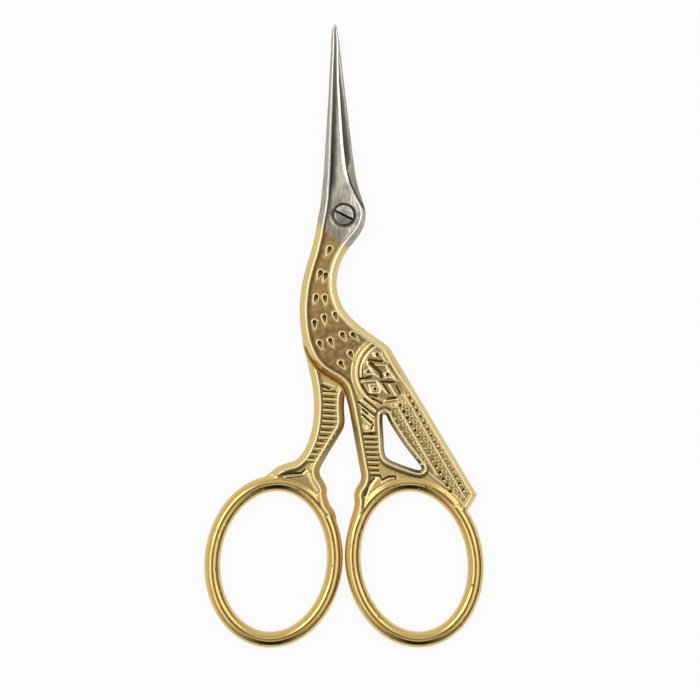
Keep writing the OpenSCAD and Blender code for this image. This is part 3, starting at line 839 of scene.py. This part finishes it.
# Where the mesh is finer: (outline, distance between points).
FRONT_PATCHES = [
    ([(8.6, -24.3), (6.9, -23.2), (5.3, -22.9), (2.4, -25), (0.9, -28.5), (1, -31.5), (2.1, -34.5),
      (2.7, -37.5), (3, -40.3), (6.6, -40.2), (6.6, -36.9), (8.2, -35.9), (12.2, -34.9),
      (11.6, -31), (10.1, -27.5)], 0.12),
    ([(4.6, -48.4), (7.6, -47.6), (10.6, -48), (10.4, -49.8), (7, -50.8), (4.6, -53),
      (3.6, -52.8), (4, -50.4)], 0.14),
    (TAIL_AREA, 0.13),
    ([(2.7, -40.3), (6.6, -40.2), (7.1, -46.5), (6.6, -48.2), (4.5, -48.4), (3.9, -45)], 0.13),
    ([(1.2, -52.5), (4.2, -53.2), (3.2, -56.5), (2.4, -60), (0.2, -60), (0.6, -56.5)], 0.2),
    ([(22.6, -53.8), (24, -54), (22.8, -56.8), (20.2, -56), (20.6, -54)], 0.2)]
BACK_PATCHES = [
    ([(-11.8, -47.4), (-7.5, -46.6), (-5.8, -47), (-4.6, -49.3), (-4, -51.6), (-5.6, -51.2),
      (-8.4, -49.2), (-11.6, -49)], 0.14),
    ([(-4.5, -32.4), (-0.9, -32.6), (-0.9, -38), (-2.1, -41.2), (-4.9, -46.2), (-7.6, -45.2),
      (-6.1, -43), (-5, -39), (-4.6, -35)], 0.13),
    ([(-1.4, -52.5), (-4.2, -53), (-3.4, -56.5), (-2.4, -60), (-0.2, -60), (-0.6, -56.5)], 0.2),
    ([(-12, -46.5), (-12.5, -49.6), (-16, -51.8), (-20.5, -56), (-23, -56), (-19, -50)], 0.22)]


# Lines that the mesh follows beside the raised lines and grooves: (paths, distances).
BOTH_EDGES = (-0.2, -0.1, 0, 0.1, 0.2)
GAP_LINES = (-0.13, -0.06, 0, 0.06, 0.13)
FRONT_LINES = [
    (TAIL_RIDGES, (-0.25, -0.16, -0.08, 0, 0.08, 0.16, 0.25)),
    (WING_ARCS, (-0.23, -0.15, -0.07, 0, 0.07, 0.15, 0.23)),
    (ARC_GROOVES + WIDE_GROOVES, (-0.1, 0, 0.1)),
    (WING_LINES + THIGH_LINES + FRONT_WEB_LINES, BOTH_EDGES),
    (WING_GROOVES + THIGH_GROOVES + FRONT_WEB_GROOVES, (-0.18, 0, 0.18)),
    (front_gaps, GAP_LINES)]
BACK_LINES = [(BACK_WEB_LINES + BACK_WEB_GROOVES, BOTH_EDGES), (back_gaps, GAP_LINES)]


def half_plan(half):
    """Flat mesh of a half, which follows every edge of its relief."""
    rails = half.lines() + blade_lines(half.is_front)
    rails += [half.step] + offset_lines(half.step, 0.05 if half.is_front else -0.05)
    rails.append(circle(half.bore))
    if half.is_front:
        rails += [circle(r) for r in (SEAT_R, SEAT_R + WALL, SPOT_R - 0.04, SPOT_R - 0.04 + WALL)]
    rails.append(np.array([(-9, PLATING_Y), (6, PLATING_Y)]))
    for mark in FEATHERS:
        rails += [seed_outline(*mark, grow) for grow in (-0.5, -0.2, 0.02, 0.2, 0.5)]
    for paths, distances in FRONT_LINES if half.is_front else BACK_LINES:
        for path in paths:
            for distance in distances:
                rails += offset_lines(straight_path(path, 0.25), distance)
    patches = [(seed_outline(*mark, 1.3)[:-1], 0.1) for mark in FEATHERS]
    patches += FRONT_PATCHES if half.is_front else BACK_PATCHES
    return plan_mesh(half.region, rails, patches)


def seated(top, r):
    """A front face with the spot ground flat round the screw and the seat of its head."""
    wall = SPOT_Z + (top - SPOT_Z) * smoothstep((r - SPOT_R + 0.04) / WALL)
    top = np.where(r < SPOT_R + 0.1, np.minimum(top, wall), top)
    wall = SEAT_Z + (SPOT_Z - SEAT_Z) * np.clip((r - SEAT_R) / WALL, 0, 1)
    return np.where(r < SEAT_R + WALL, np.minimum(top, wall), top)


def build_half(name, half):
    """The steel and the plated piece of a half."""
    is_front = half.is_front
    verts, tris = half_plan(half)
    x, y = verts.T
    shown, crest, foot = half.relief(verts, front_ornament if is_front else back_ornament)
    lapped = inside(verts, half.lap) | (nearest(verts, half.step)[0] < 1e-3)
    dip, ground_away = hollow(verts, is_front)
    blade, blade_crest, blade_foot = blade_relief(verts, is_front)
    # Outer face of the half, where the relief runs over into the blade above the pivot.
    k = smoothstep((y - 0.8) / 6)
    outer = shown * (1 - k) + blade * k
    outer_crest = crest * (1 - k) + blade_crest * k
    outer_foot = foot * (1 - k) + blade_foot * k
    inner_crest = np.where(lapped, 0, crest)
    r = np.hypot(x, y)
    if is_front:
        top, bottom = seated(outer, r), np.where(lapped, FACE + dip, -shown)
        outer_crest *= smoothstep((r - SPOT_R + 0.3) / 0.2)
        # Less painted shade at the foot of the rims right of the screw, and a ring of painted shade
        # in the screw's seat, darkest towards the upper right.
        outer_foot *= 1 - 0.9 * smoothstep((6 - r) / 2.5) * (x > 0.5)
        towards_corner = (verts @ (0.7, 0.7)) / np.maximum(r, 0.1)
        in_seat = (0.85 + 0.4 * towards_corner) * (r < SEAT_R + 0.16)
        outer_foot = np.maximum(outer_foot, in_seat)
        # On the lapped face the hollow grinding takes painted shade.
        inner_foot = np.where(lapped, ground_away, foot)
    else:
        top, bottom = np.where(lapped, -FACE - dip, shown), -outer
        # A painted shadow lies along the gap under the front half's cutting edge, and painted shade
        # on the hollow grinding of the lapped face.
        beyond = x - column(y, 3)
        gap = smoothstep((0.5 - beyond) / 0.3) * smoothstep((y - 0.2) / 1.5) * (y < 12)
        inner_foot = np.where(lapped, np.maximum(ground_away * 1.3, gap), foot)
    top = np.maximum(top, bottom)
    if is_front:
        crest_up, crest_down, foot_up, foot_down = outer_crest, inner_crest, outer_foot, inner_foot
    else:
        crest_up, crest_down, foot_up, foot_down = inner_crest, outer_crest, inner_foot, outer_foot
    # Struck ground of the neck and body: off the wing, the rims and anything polished.
    edge = np.minimum(nearest(verts, half.left)[0], nearest(verts, half.right)[0])
    struck = smoothstep((np.hypot(x - WING[0], y - WING[1]) - WING_R) / 0.3)
    struck *= smoothstep((y + 33) / 1.5) * (1 - np.clip(np.maximum(crest_up, crest_down) * 2, 0, 1))
    struck *= smoothstep((edge - SLOPE - CREST - 0.1) / 0.3)
    from_bar = nearest(verts, half.ring_line, True)[0] - BAR - 0.05
    bar = smoothstep(-from_bar / 0.9)
    # Painted shade lies in whatever is cut below the field.
    painted_shade = np.clip((FIELD - 0.04 - shown) / 0.2, 0, 1) * (edge > SLOPE + CREST) * (1 - k)
    painted_shade *= (from_bar > 0) & (y < -6)
    # Little light reaches the outer slopes between the two legs.
    between = nearest(verts, half.left if is_front else half.right)[0]
    between = 0.75 * (1 - smoothstep(between / 0.6)) * smoothstep((-32 - y) / 3)
    painted_shade = np.maximum(painted_shade, between * smoothstep((y + 51) / 3))
    flat_up, flat_down = lapped & (not is_front), lapped & is_front
    # crest makes a surface polished and pale, a painted highlight; corner carries painted shade.
    layers = {"crest": (crest_up, crest_down),
              "corner": (np.clip(foot_up + painted_shade * ~flat_up, 0, 1),
                         np.clip(foot_down + painted_shade * ~flat_down, 0, 1)),
              "ground": (struck * is_front, struck * ~flat_down),
              "bar": (bar, bar)}
    steel = verts[tris].mean(1)[:, 1] > PLATING_Y
    return (solid_mesh(name + "_blade_steel", verts, tris[steel], top, bottom, layers),
            solid_mesh(name + "_handle_gilt", verts, tris[~steel], top, bottom, layers))


front_steel, front_gilt = build_half("front", front)
back_steel, back_gilt = build_half("back", back)


def screw_mesh():
    """Slotted pivot screw: domed head, shank and ground end."""
    edge, slot = 0.28, math.radians(-27)
    across = np.array([-math.sin(slot), math.cos(slot)])
    along = np.array([math.cos(slot), math.sin(slot)])
    rails = [circle(r, 72) for r in (0.5, SHANK_R - 0.12, SHANK_R, SHANK_R + 0.02, 1.5,
                                     HEAD_R - edge, HEAD_R - 0.16, HEAD_R - 0.07, HEAD_R - 0.02,
                                     HEAD_R)]
    for side in (-0.24, -0.2, -0.18, 0.18, 0.2, 0.24):
        rails.append(np.array([across * side - along * 2.2, across * side + along * 2.2]))

    def region(p):
        return np.hypot(p[:, 0], p[:, 1]) < HEAD_R - 1e-4
    verts, tris = plan_mesh(region, rails, [], 0.22)
    r = np.hypot(verts[:, 0], verts[:, 1])
    top = 1.58 - 0.13 * (r / HEAD_R) ** 2
    corner = np.clip((r - (HEAD_R - edge)) / edge, 0, 1)
    top = top - edge * (1 - np.sqrt(1 - np.minimum(corner, 0.999) ** 2))
    u = np.abs(verts @ across)
    top = top - np.where(u <= 0.1801, 0.42, np.where(u < 0.2001, 0.06, 0))
    chamfer = 0.1 * np.clip((r - SHANK_R + 0.12) / 0.12, 0, 1)
    under = np.where(r > SHANK_R + 0.015, SEAT_Z + 0.02, chamfer - 1.58)
    # Painted shade in the slot, round the head's edge and on the half of the head below the slot.
    slotted = smoothstep((0.24 - u) / 0.06)
    wear_and_shade = 0.45 * (verts @ across < -0.2)
    rim = smoothstep((r - HEAD_R + 0.12) / 0.1)
    return solid_mesh("pivot_screw_turned", verts, tris, top, under,
                      {"corner": (np.maximum(np.maximum(slotted, rim), wear_and_shade), 0 * rim)})


screw = screw_mesh()


# Colours are sRGB hex values.
def hex_colour(code):
    rgb = [int(code[i:i + 2], 16) / 255 for i in (1, 3, 5)]
    return tuple(c / 12.92 if c <= 0.04045 else ((c + 0.055) / 1.055) ** 2.4 for c in rgb) + (1,)


def add_node(tree, kind, inputs=None, **settings):
    """A node with its settings and its inputs: a value, a hex colour, the output socket to
    link, or the node to link, by its first output in use."""
    node = tree.nodes.new(kind)
    for key, value in settings.items():
        setattr(node, key, value)
    for key, value in (inputs or {}).items():
        if isinstance(value, bpy.types.Node):
            value = next(socket for socket in value.outputs if socket.enabled)
        if isinstance(value, bpy.types.NodeSocket):
            tree.links.new(value, node.inputs[key])
        elif isinstance(value, str) and value.startswith("#"):
            node.inputs[key].default_value = hex_colour(value)
        else:
            node.inputs[key].default_value = value
    return node


# Ribs, beads and rings that repeat, by Geometry Nodes on a mesh of edges.
def rail_object(name, paths, z):
    """Object of edge chains on both faces, at a height over and under the parting plane."""
    points, edges = [], []
    for path in paths:
        for height in (z, -z):
            edges.extend((len(points) + i, len(points) + i + 1) for i in range(len(path) - 1))
            points.extend((x * MM, y * MM, (height + PARTING) * MM) for x, y in path)
    mesh = bpy.data.meshes.new(name)
    mesh.from_pydata(points, edges, [])
    return linked(name, mesh)


def tree_with_inputs(name, sizes):
    """Geometry node tree with a geometry socket each way and named number inputs."""
    tree = bpy.data.node_groups.new(name, "GeometryNodeTree")
    tree.interface.new_socket("Geometry", in_out="INPUT", socket_type="NodeSocketGeometry")
    for label, value in sizes.items():
        kind = "NodeSocketInt" if isinstance(value, int) else "NodeSocketFloat"
        tree.interface.new_socket(label, in_out="INPUT", socket_type=kind).default_value = value
    tree.interface.new_socket("Material", in_out="INPUT", socket_type="NodeSocketMaterial")
    tree.interface.new_socket("Geometry", in_out="OUTPUT", socket_type="NodeSocketGeometry")
    return tree, tree.nodes.new("NodeGroupInput")


def finish_tree(tree, group, geometry, crest):
    """Store how polished the shapes are, which also pales them as a painted highlight, then Realize
    Instances and Set Material.
    """
    real = add_node(tree, "GeometryNodeRealizeInstances", {0: geometry})
    stored = add_node(tree, "GeometryNodeStoreNamedAttribute",
                      {"Geometry": real, "Name": "crest", "Value": crest},
                      data_type="FLOAT", domain="POINT")
    dressed = add_node(tree, "GeometryNodeSetMaterial",
                       {"Geometry": stored, "Material": group.outputs["Material"]})
    smooth = add_node(tree, "GeometryNodeSetShadeSmooth", {"Geometry": dressed})
    add_node(tree, "NodeGroupOutput", {0: smooth})
    return tree


def rib_tree():
    """A round bar along every edge chain, half sunk in the face that it lies on."""
    tree, group = tree_with_inputs("ribs_across_a_leg", {"Radius": 0.4 * MM, "Sides": 10})
    path = add_node(tree, "GeometryNodeMeshToCurve", {0: group.outputs["Geometry"]})
    profile = add_node(tree, "GeometryNodeCurvePrimitiveCircle",
                       {"Resolution": group.outputs["Sides"], "Radius": group.outputs["Radius"]})
    swept = add_node(tree, "GeometryNodeCurveToMesh",
                     {"Curve": path, "Profile Curve": profile, "Fill Caps": True})
    return finish_tree(tree, group, swept, 0.5)


def ring_tree():
    """Oval rings at an even pitch along every edge chain, turned to follow it."""
    tree, group = tree_with_inputs("rings_along_the_tail",
                                   {"Pitch": 1.3 * MM, "Width": 0.3 * MM, "Long": 1.5,
                                    "Wire": 0.12 * MM, "Turn": 0.0, "Sides": 6})
    path = add_node(tree, "GeometryNodeMeshToCurve", {0: group.outputs["Geometry"]})
    even = add_node(tree, "GeometryNodeResampleCurve",
                    {"Curve": path, "Length": group.outputs["Pitch"]}, mode="LENGTH")
    loop = add_node(tree, "GeometryNodeCurvePrimitiveCircle",
                    {"Resolution": 10, "Radius": group.outputs["Width"]})
    stretch = add_node(tree, "ShaderNodeCombineXYZ",
                       {"X": group.outputs["Long"], "Y": 1.0, "Z": 1.0})
    oval = add_node(tree, "GeometryNodeTransform", {"Geometry": loop, "Scale": stretch})
    wire = add_node(tree, "GeometryNodeCurvePrimitiveCircle",
                    {"Resolution": group.outputs["Sides"], "Radius": group.outputs["Wire"]})
    ring = add_node(tree, "GeometryNodeCurveToMesh", {"Curve": oval, "Profile Curve": wire})
    tangent = add_node(tree, "GeometryNodeInputTangent")
    along = add_node(tree, "FunctionNodeAlignEulerToVector", {"Vector": tangent},
                     axis="X", pivot_axis="Z")
    extra = add_node(tree, "ShaderNodeCombineXYZ", {"Z": group.outputs["Turn"]})
    total = add_node(tree, "ShaderNodeVectorMath", {0: along, 1: extra}, operation="ADD")
    rows = add_node(tree, "GeometryNodeInstanceOnPoints",
                    {"Points": even, "Instance": ring, "Rotation": total})
    return finish_tree(tree, group, rows, 0.6)


def grown(obj, tree, values):
    """The plain mesh that a tree makes from an object of edges."""
    modifier = obj.modifiers.new("grow", "NODES")
    modifier.node_group = tree
    for item in tree.interface.items_tree:
        if item.in_out == "INPUT" and item.name in values:
            modifier[item.identifier] = values[item.name]
    bpy.context.view_layer.update()
    ready = obj.evaluated_get(bpy.context.evaluated_depsgraph_get())
    rails = obj.data
    obj.data = bpy.data.meshes.new_from_object(ready)
    obj.modifiers.clear()
    bpy.data.meshes.remove(rails)
    return obj


def new_material(name):
    material = bpy.data.materials.new(name)
    material.use_nodes = True
    material.node_tree.nodes.clear()
    return material, material.node_tree


def plated_forging():
    """Forged carbon steel: satin ground and polished on its crests, bright gold plated
    below a soft line under the pivot. Mirror-bright crests, softer fields. The scales of
    the patterns are repeats per millimetre, divided by MM."""
    material, tree = new_material("satin_steel_to_bright_gold_plate")
    place = add_node(tree, "ShaderNodeTexCoord").outputs["Object"]
    xyz = add_node(tree, "ShaderNodeSeparateXYZ", {0: place})
    # crest gives polish and a painted highlight, corner gives painted shade.
    crest, corner, ground, bar = (
        add_node(tree, "ShaderNodeAttribute", attribute_name=name).outputs["Fac"]
        for name in ("crest", "corner", "ground", "bar"))
    corner = add_node(tree, "ShaderNodeMath", {0: corner, 1: 0.85}, operation="MULTIPLY")
    mottle = add_node(tree, "ShaderNodeTexNoise",
                      {"Vector": place, "Scale": 1.1 / MM, "Detail": 5})
    # The plating ends over 2 mm along a wavy line that falls to the right, 0.8 mm for each mm.
    slanted = add_node(tree, "ShaderNodeVectorMath", {0: place, 1: (0.8, 1, 0)},
                       operation="DOT_PRODUCT").outputs["Value"]
    line = add_node(tree, "ShaderNodeMath", {0: mottle.outputs["Fac"], 1: 1.2 * MM, 2: slanted},
                    operation="MULTIPLY_ADD")
    plated = add_node(tree, "ShaderNodeMapRange",
                      {"Value": line, "From Min": -3.8 * MM, "From Max": -5.8 * MM},
                      interpolation_type="SMOOTHSTEP")
    # Grinding lines about 0.3 mm apart, which show as streaks of shade and as fine ridges.
    grain = add_node(tree, "ShaderNodeMapping",
                     {"Vector": place, "Scale": (3.5 / MM, 0.4 / MM, 3.5 / MM)})
    lines = add_node(tree, "ShaderNodeTexNoise", {"Vector": grain, "Scale": 1, "Detail": 3})
    streak = add_node(tree, "ShaderNodeMapRange",
                      {"Value": lines.outputs["Fac"], "From Min": 0.36, "From Max": 0.64})
    patch = add_node(tree, "ShaderNodeMapRange",
                     {"Value": mottle.outputs["Fac"], "From Min": 0.38, "From Max": 0.62})
    low = add_node(tree, "ShaderNodeMapRange",
                   {"Value": xyz.outputs["Y"], "From Min": -14 * MM, "From Max": -21.5 * MM})

    def mix(factor, first, second):
        return add_node(tree, "ShaderNodeMix", {0: factor, 6: first, 7: second}, data_type="RGBA")
    # Gold: browner on the struck ground of the neck, and more so on the body, richer on the
    # finger rings. Both metals are pale on the crests, a painted highlight, and dark in the
    # corners, painted shade.
    struck = mix(low, mix(patch, "#ad8f5c", "#c9a066"), mix(patch, "#94784c", "#b69a60"))
    gold = mix(bar, mix(ground, "#e0c380", struck), "#d1b26d")
    gold = mix(corner, mix(crest, gold, "#f8eab4"), "#3c270a")
    steel = mix(crest, mix(streak, "#968f81", "#beb7a8"), "#ece8dc")
    steel = mix(corner, steel, "#3d3931")
    smooth = add_node(tree, "ShaderNodeMath", {0: crest, 1: 0.55}, operation="MULTIPLY")
    smooth = add_node(tree, "ShaderNodeMath", {0: smooth, 1: bar}, operation="MAXIMUM")
    rough = add_node(tree, "ShaderNodeMapRange", {"Value": smooth, "To Min": 0.34, "To Max": 0.07})
    relief = add_node(tree, "ShaderNodeMapRange", {"Value": smooth, "To Min": 0.12, "To Max": 0.01})
    bump = add_node(tree, "ShaderNodeBump", {"Height": lines.outputs["Fac"], "Strength": relief,
                                             "Distance": 0.06 * MM})
    shader = add_node(tree, "ShaderNodeBsdfPrincipled",
                      {"Base Color": mix(plated, steel, gold), "Metallic": 1,
                       "Roughness": rough, "Normal": bump})
    add_node(tree, "ShaderNodeOutputMaterial", {"Surface": shader})
    return material


def turned_steel():
    """Turned and slotted steel screw: fine rings from the lathe, painted shade in its slot, round
    the head's edge and on the head's lower half.
    """
    material, tree = new_material("turned_screw_steel")
    place = add_node(tree, "ShaderNodeTexCoord").outputs["Object"]
    rings = add_node(tree, "ShaderNodeTexWave",
                     {"Vector": place, "Scale": 2.2 / MM, "Distortion": 1.5},
                     wave_type="RINGS", rings_direction="Z")
    bump = add_node(tree, "ShaderNodeBump",
                    {"Height": rings.outputs["Fac"], "Strength": 0.1, "Distance": 0.04 * MM})
    wear_and_shade = add_node(tree, "ShaderNodeTexNoise", {"Vector": place, "Scale": 2 / MM, "Detail": 2})
    wear_and_shade = add_node(tree, "ShaderNodeMapRange",
                    {"Value": wear_and_shade.outputs["Fac"], "From Min": 0.35, "From Max": 0.65})
    painted_shade = add_node(tree, "ShaderNodeAttribute", attribute_name="corner").outputs["Fac"]
    colour = "#a9a397"
    for factor, other in ((wear_and_shade, "#dad6ca"), (painted_shade, "#211e19")):
        colour = add_node(tree, "ShaderNodeMix", {0: factor, 6: colour, 7: other}, data_type="RGBA")
    shader = add_node(tree, "ShaderNodeBsdfPrincipled",
                      {"Base Color": colour, "Metallic": 1, "Roughness": 0.28, "Normal": bump})
    add_node(tree, "ShaderNodeOutputMaterial", {"Surface": shader})
    return material


forged, screw_steel = plated_forging(), turned_steel()
for cad_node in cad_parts.values():
    cad_node.data.materials.clear()
    cad_node.data.materials.append(screw_steel if "screw" in cad_node.name else forged)

# Each band of the tail has a row of oval rings and a row of small beads beside it.
RIB = {"Radius": 0.4 * MM, "Sides": 10}
RING = {"Pitch": BEAD_PITCH * MM, "Width": 0.31 * MM, "Long": 1.65, "Wire": 0.12 * MM, "Turn": 0.15}
BEAD = {"Pitch": BEAD_PITCH * MM, "Width": 0.13 * MM, "Long": 1.0, "Wire": 0.14 * MM, "Turn": 0.0}
ribs, rings = rib_tree(), ring_tree()
for name, paths, z, tree, values, body in (
        ("front_leg_ribs", front_ribs, RIB_Z, ribs, RIB, "front_half"),
        ("back_leg_ribs", back_ribs, RIB_Z, ribs, RIB | {"Radius": 0.42 * MM}, "back_half"),
        ("tail_rings", RING_ROWS, 1.33, rings, RING, "front_half"),
        ("tail_beads", BEAD_ROWS, 1.32, rings, BEAD, "front_half")):
    piece = grown(rail_object(name, paths, z), tree, values | {"Material": forged})
    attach(piece, body)

for piece, body, node, slot, material in (
        (front_steel, "front_half", "front_blade", "bare_steel", forged),
        (front_gilt, "front_half", "front_handle", "gold_plate", forged),
        (back_steel, "back_half", "back_blade", "bare_steel", forged),
        (back_gilt, "back_half", "back_handle", "gold_plate", forged),
        (screw, "back_half", "pivot_screw", "screw_steel", screw_steel)):
    piece.data.materials.append(material)
    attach(piece, body)
    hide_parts(node)


# Camera: straight down from 0.7 m, as in the photograph, which is 129.2 mm wide at the part.
DISTANCE = 700
SENSOR = 36
view = bpy.data.cameras.new("photo_camera")
camera = linked("photo_camera", view)
bpy.context.scene.camera = camera
camera.location = (1.13 * MM, -24.9 * MM, (DISTANCE + 3) * MM)
view.sensor_width = SENSOR
view.lens = SENSOR * DISTANCE / 129.2
view.clip_start, view.clip_end = 0.05, 5


def world_light(world):
    """Bands of light and dark that the metal mirrors, and plain white for the camera."""
    world.use_nodes = True
    tree = world.node_tree
    tree.nodes.clear()
    direction = add_node(tree, "ShaderNodeTexCoord").outputs["Generated"]
    xyz = add_node(tree, "ShaderNodeSeparateXYZ", {0: direction})
    x, y = xyz.outputs["X"], xyz.outputs["Y"]

    def band(component, stops):
        """Brightness in stops of (degrees from straight up, strength)."""
        angle = add_node(tree, "ShaderNodeMath", {0: component, 1: xyz.outputs["Z"]},
                         operation="ARCTAN2")
        factor = add_node(tree, "ShaderNodeMath", {0: angle, 1: 1 / math.pi, 2: 0.5},
                          operation="MULTIPLY_ADD")
        ramp = add_node(tree, "ShaderNodeValToRGB", {"Fac": factor})
        elements = ramp.color_ramp.elements
        while len(elements) < len(stops):
            elements.new(0.5)
        for element, (degrees, strength) in zip(elements, stops):
            element.position = degrees / 180 + 0.5
            element.color = (strength / 3, strength / 3, strength / 3, 1)
        return add_node(tree, "ShaderNodeMath", {0: ramp, 1: 3}, operation="MULTIPLY")

    # Left to right: the pale room, a softbox, the dark gap of the lens, a second softbox and
    # a dark flag. Bottom to top: a dark flag, a bright strip, the half-lit gap of the lens,
    # and a pale ceiling.
    across = band(x, [(-90, 0.95), (-60, 0.85), (-44, 0.8), (-36, 1.8), (-18, 1.7), (-9, 0.1),
                      (8, 0.1), (16, 1.3), (40, 1.5), (48, 0.6), (60, 0.4), (67, 0.1), (80, 0.1),
                      (88, 0.9)])
    along = band(y, [(-90, 0.8), (-80, 0.15), (-72, 0.03), (-28, 0.03), (-20, 1.0), (-8, 0.5),
                     (8, 0.45), (20, 1.0), (50, 0.7), (72, 0.95), (90, 1.0)])
    # Share of the left-to-right bands: by how far a direction leans that way.
    xx = add_node(tree, "ShaderNodeMath", {0: x, 1: x}, operation="MULTIPLY")
    both = add_node(tree, "ShaderNodeMath", {0: y, 1: y, 2: xx}, operation="MULTIPLY_ADD")
    both = add_node(tree, "ShaderNodeMath", {0: both, 1: 1e-5}, operation="ADD")
    share = add_node(tree, "ShaderNodeMath", {0: xx, 1: both}, operation="DIVIDE")
    light = add_node(tree, "ShaderNodeMix", {"Factor": share, "A": along, "B": across},
                     data_type="FLOAT")
    ray = add_node(tree, "ShaderNodeLightPath")
    strength = add_node(tree, "ShaderNodeMix",
                        {"Factor": ray.outputs["Is Camera Ray"], "A": light, "B": 1.0},
                        data_type="FLOAT")
    back = add_node(tree, "ShaderNodeBackground", {"Color": "#ffffff", "Strength": strength})
    add_node(tree, "ShaderNodeOutputWorld", {"Surface": back})


def white_paper():
    """Matt white paper that takes a shadow, lifted to white for camera and mirror rays."""
    material, tree = new_material("white_paper")
    ray = add_node(tree, "ShaderNodeLightPath")
    seen = ray.outputs["Is Camera Ray"]
    for kind in ("Is Transmission Ray", "Is Glossy Ray"):
        seen = add_node(tree, "ShaderNodeMath", {0: seen, 1: ray.outputs[kind]},
                        operation="MAXIMUM")
    share = add_node(tree, "ShaderNodeMath", {0: seen, 1: 0.91}, operation="MULTIPLY")
    paper = add_node(tree, "ShaderNodeBsdfDiffuse", {"Color": (0.85, 0.85, 0.85, 1)})
    glow = add_node(tree, "ShaderNodeEmission", {"Color": "#ffffff", "Strength": 1})
    both = add_node(tree, "ShaderNodeMixShader", {0: share, 1: paper, 2: glow})
    add_node(tree, "ShaderNodeOutputMaterial", {"Surface": both})
    return material


def studio():
    """Plain soft studio: white floor, two softboxes and a world of pale and dark bands. The
    places and sizes in it are in metres."""
    scene = bpy.context.scene
    scene.view_settings.view_transform = "Standard"
    scene.world = bpy.data.worlds.new("studio")
    world_light(scene.world)
    mesh = bpy.data.meshes.new("floor")
    half = 1.5
    corners = [(half * i, half * j, 0) for i, j in ((-1, -1), (1, -1), (1, 1), (-1, 1))]
    mesh.from_pydata(corners, [], [(0, 1, 2, 3)])
    mesh.materials.append(white_paper())
    floor = linked("floor", mesh)
    floor.location.z = -0.02 * MM  # just under the part
    for name, place, power in (("softbox_left", (-0.36, 0.15, 0.66), 0.5),
                               ("softbox_right", (0.38, 0.15, 0.62), 0.2)):
        lamp = bpy.data.lights.new(name, "AREA")
        lamp.size = 0.35
        lamp.energy = power
        softbox = linked(name, lamp)
        softbox.location = place
        aim = Vector((0, -0.02, 0)) - Vector(place)
        softbox.rotation_euler = aim.to_track_quat("-Z", "Y").to_euler()


studio()
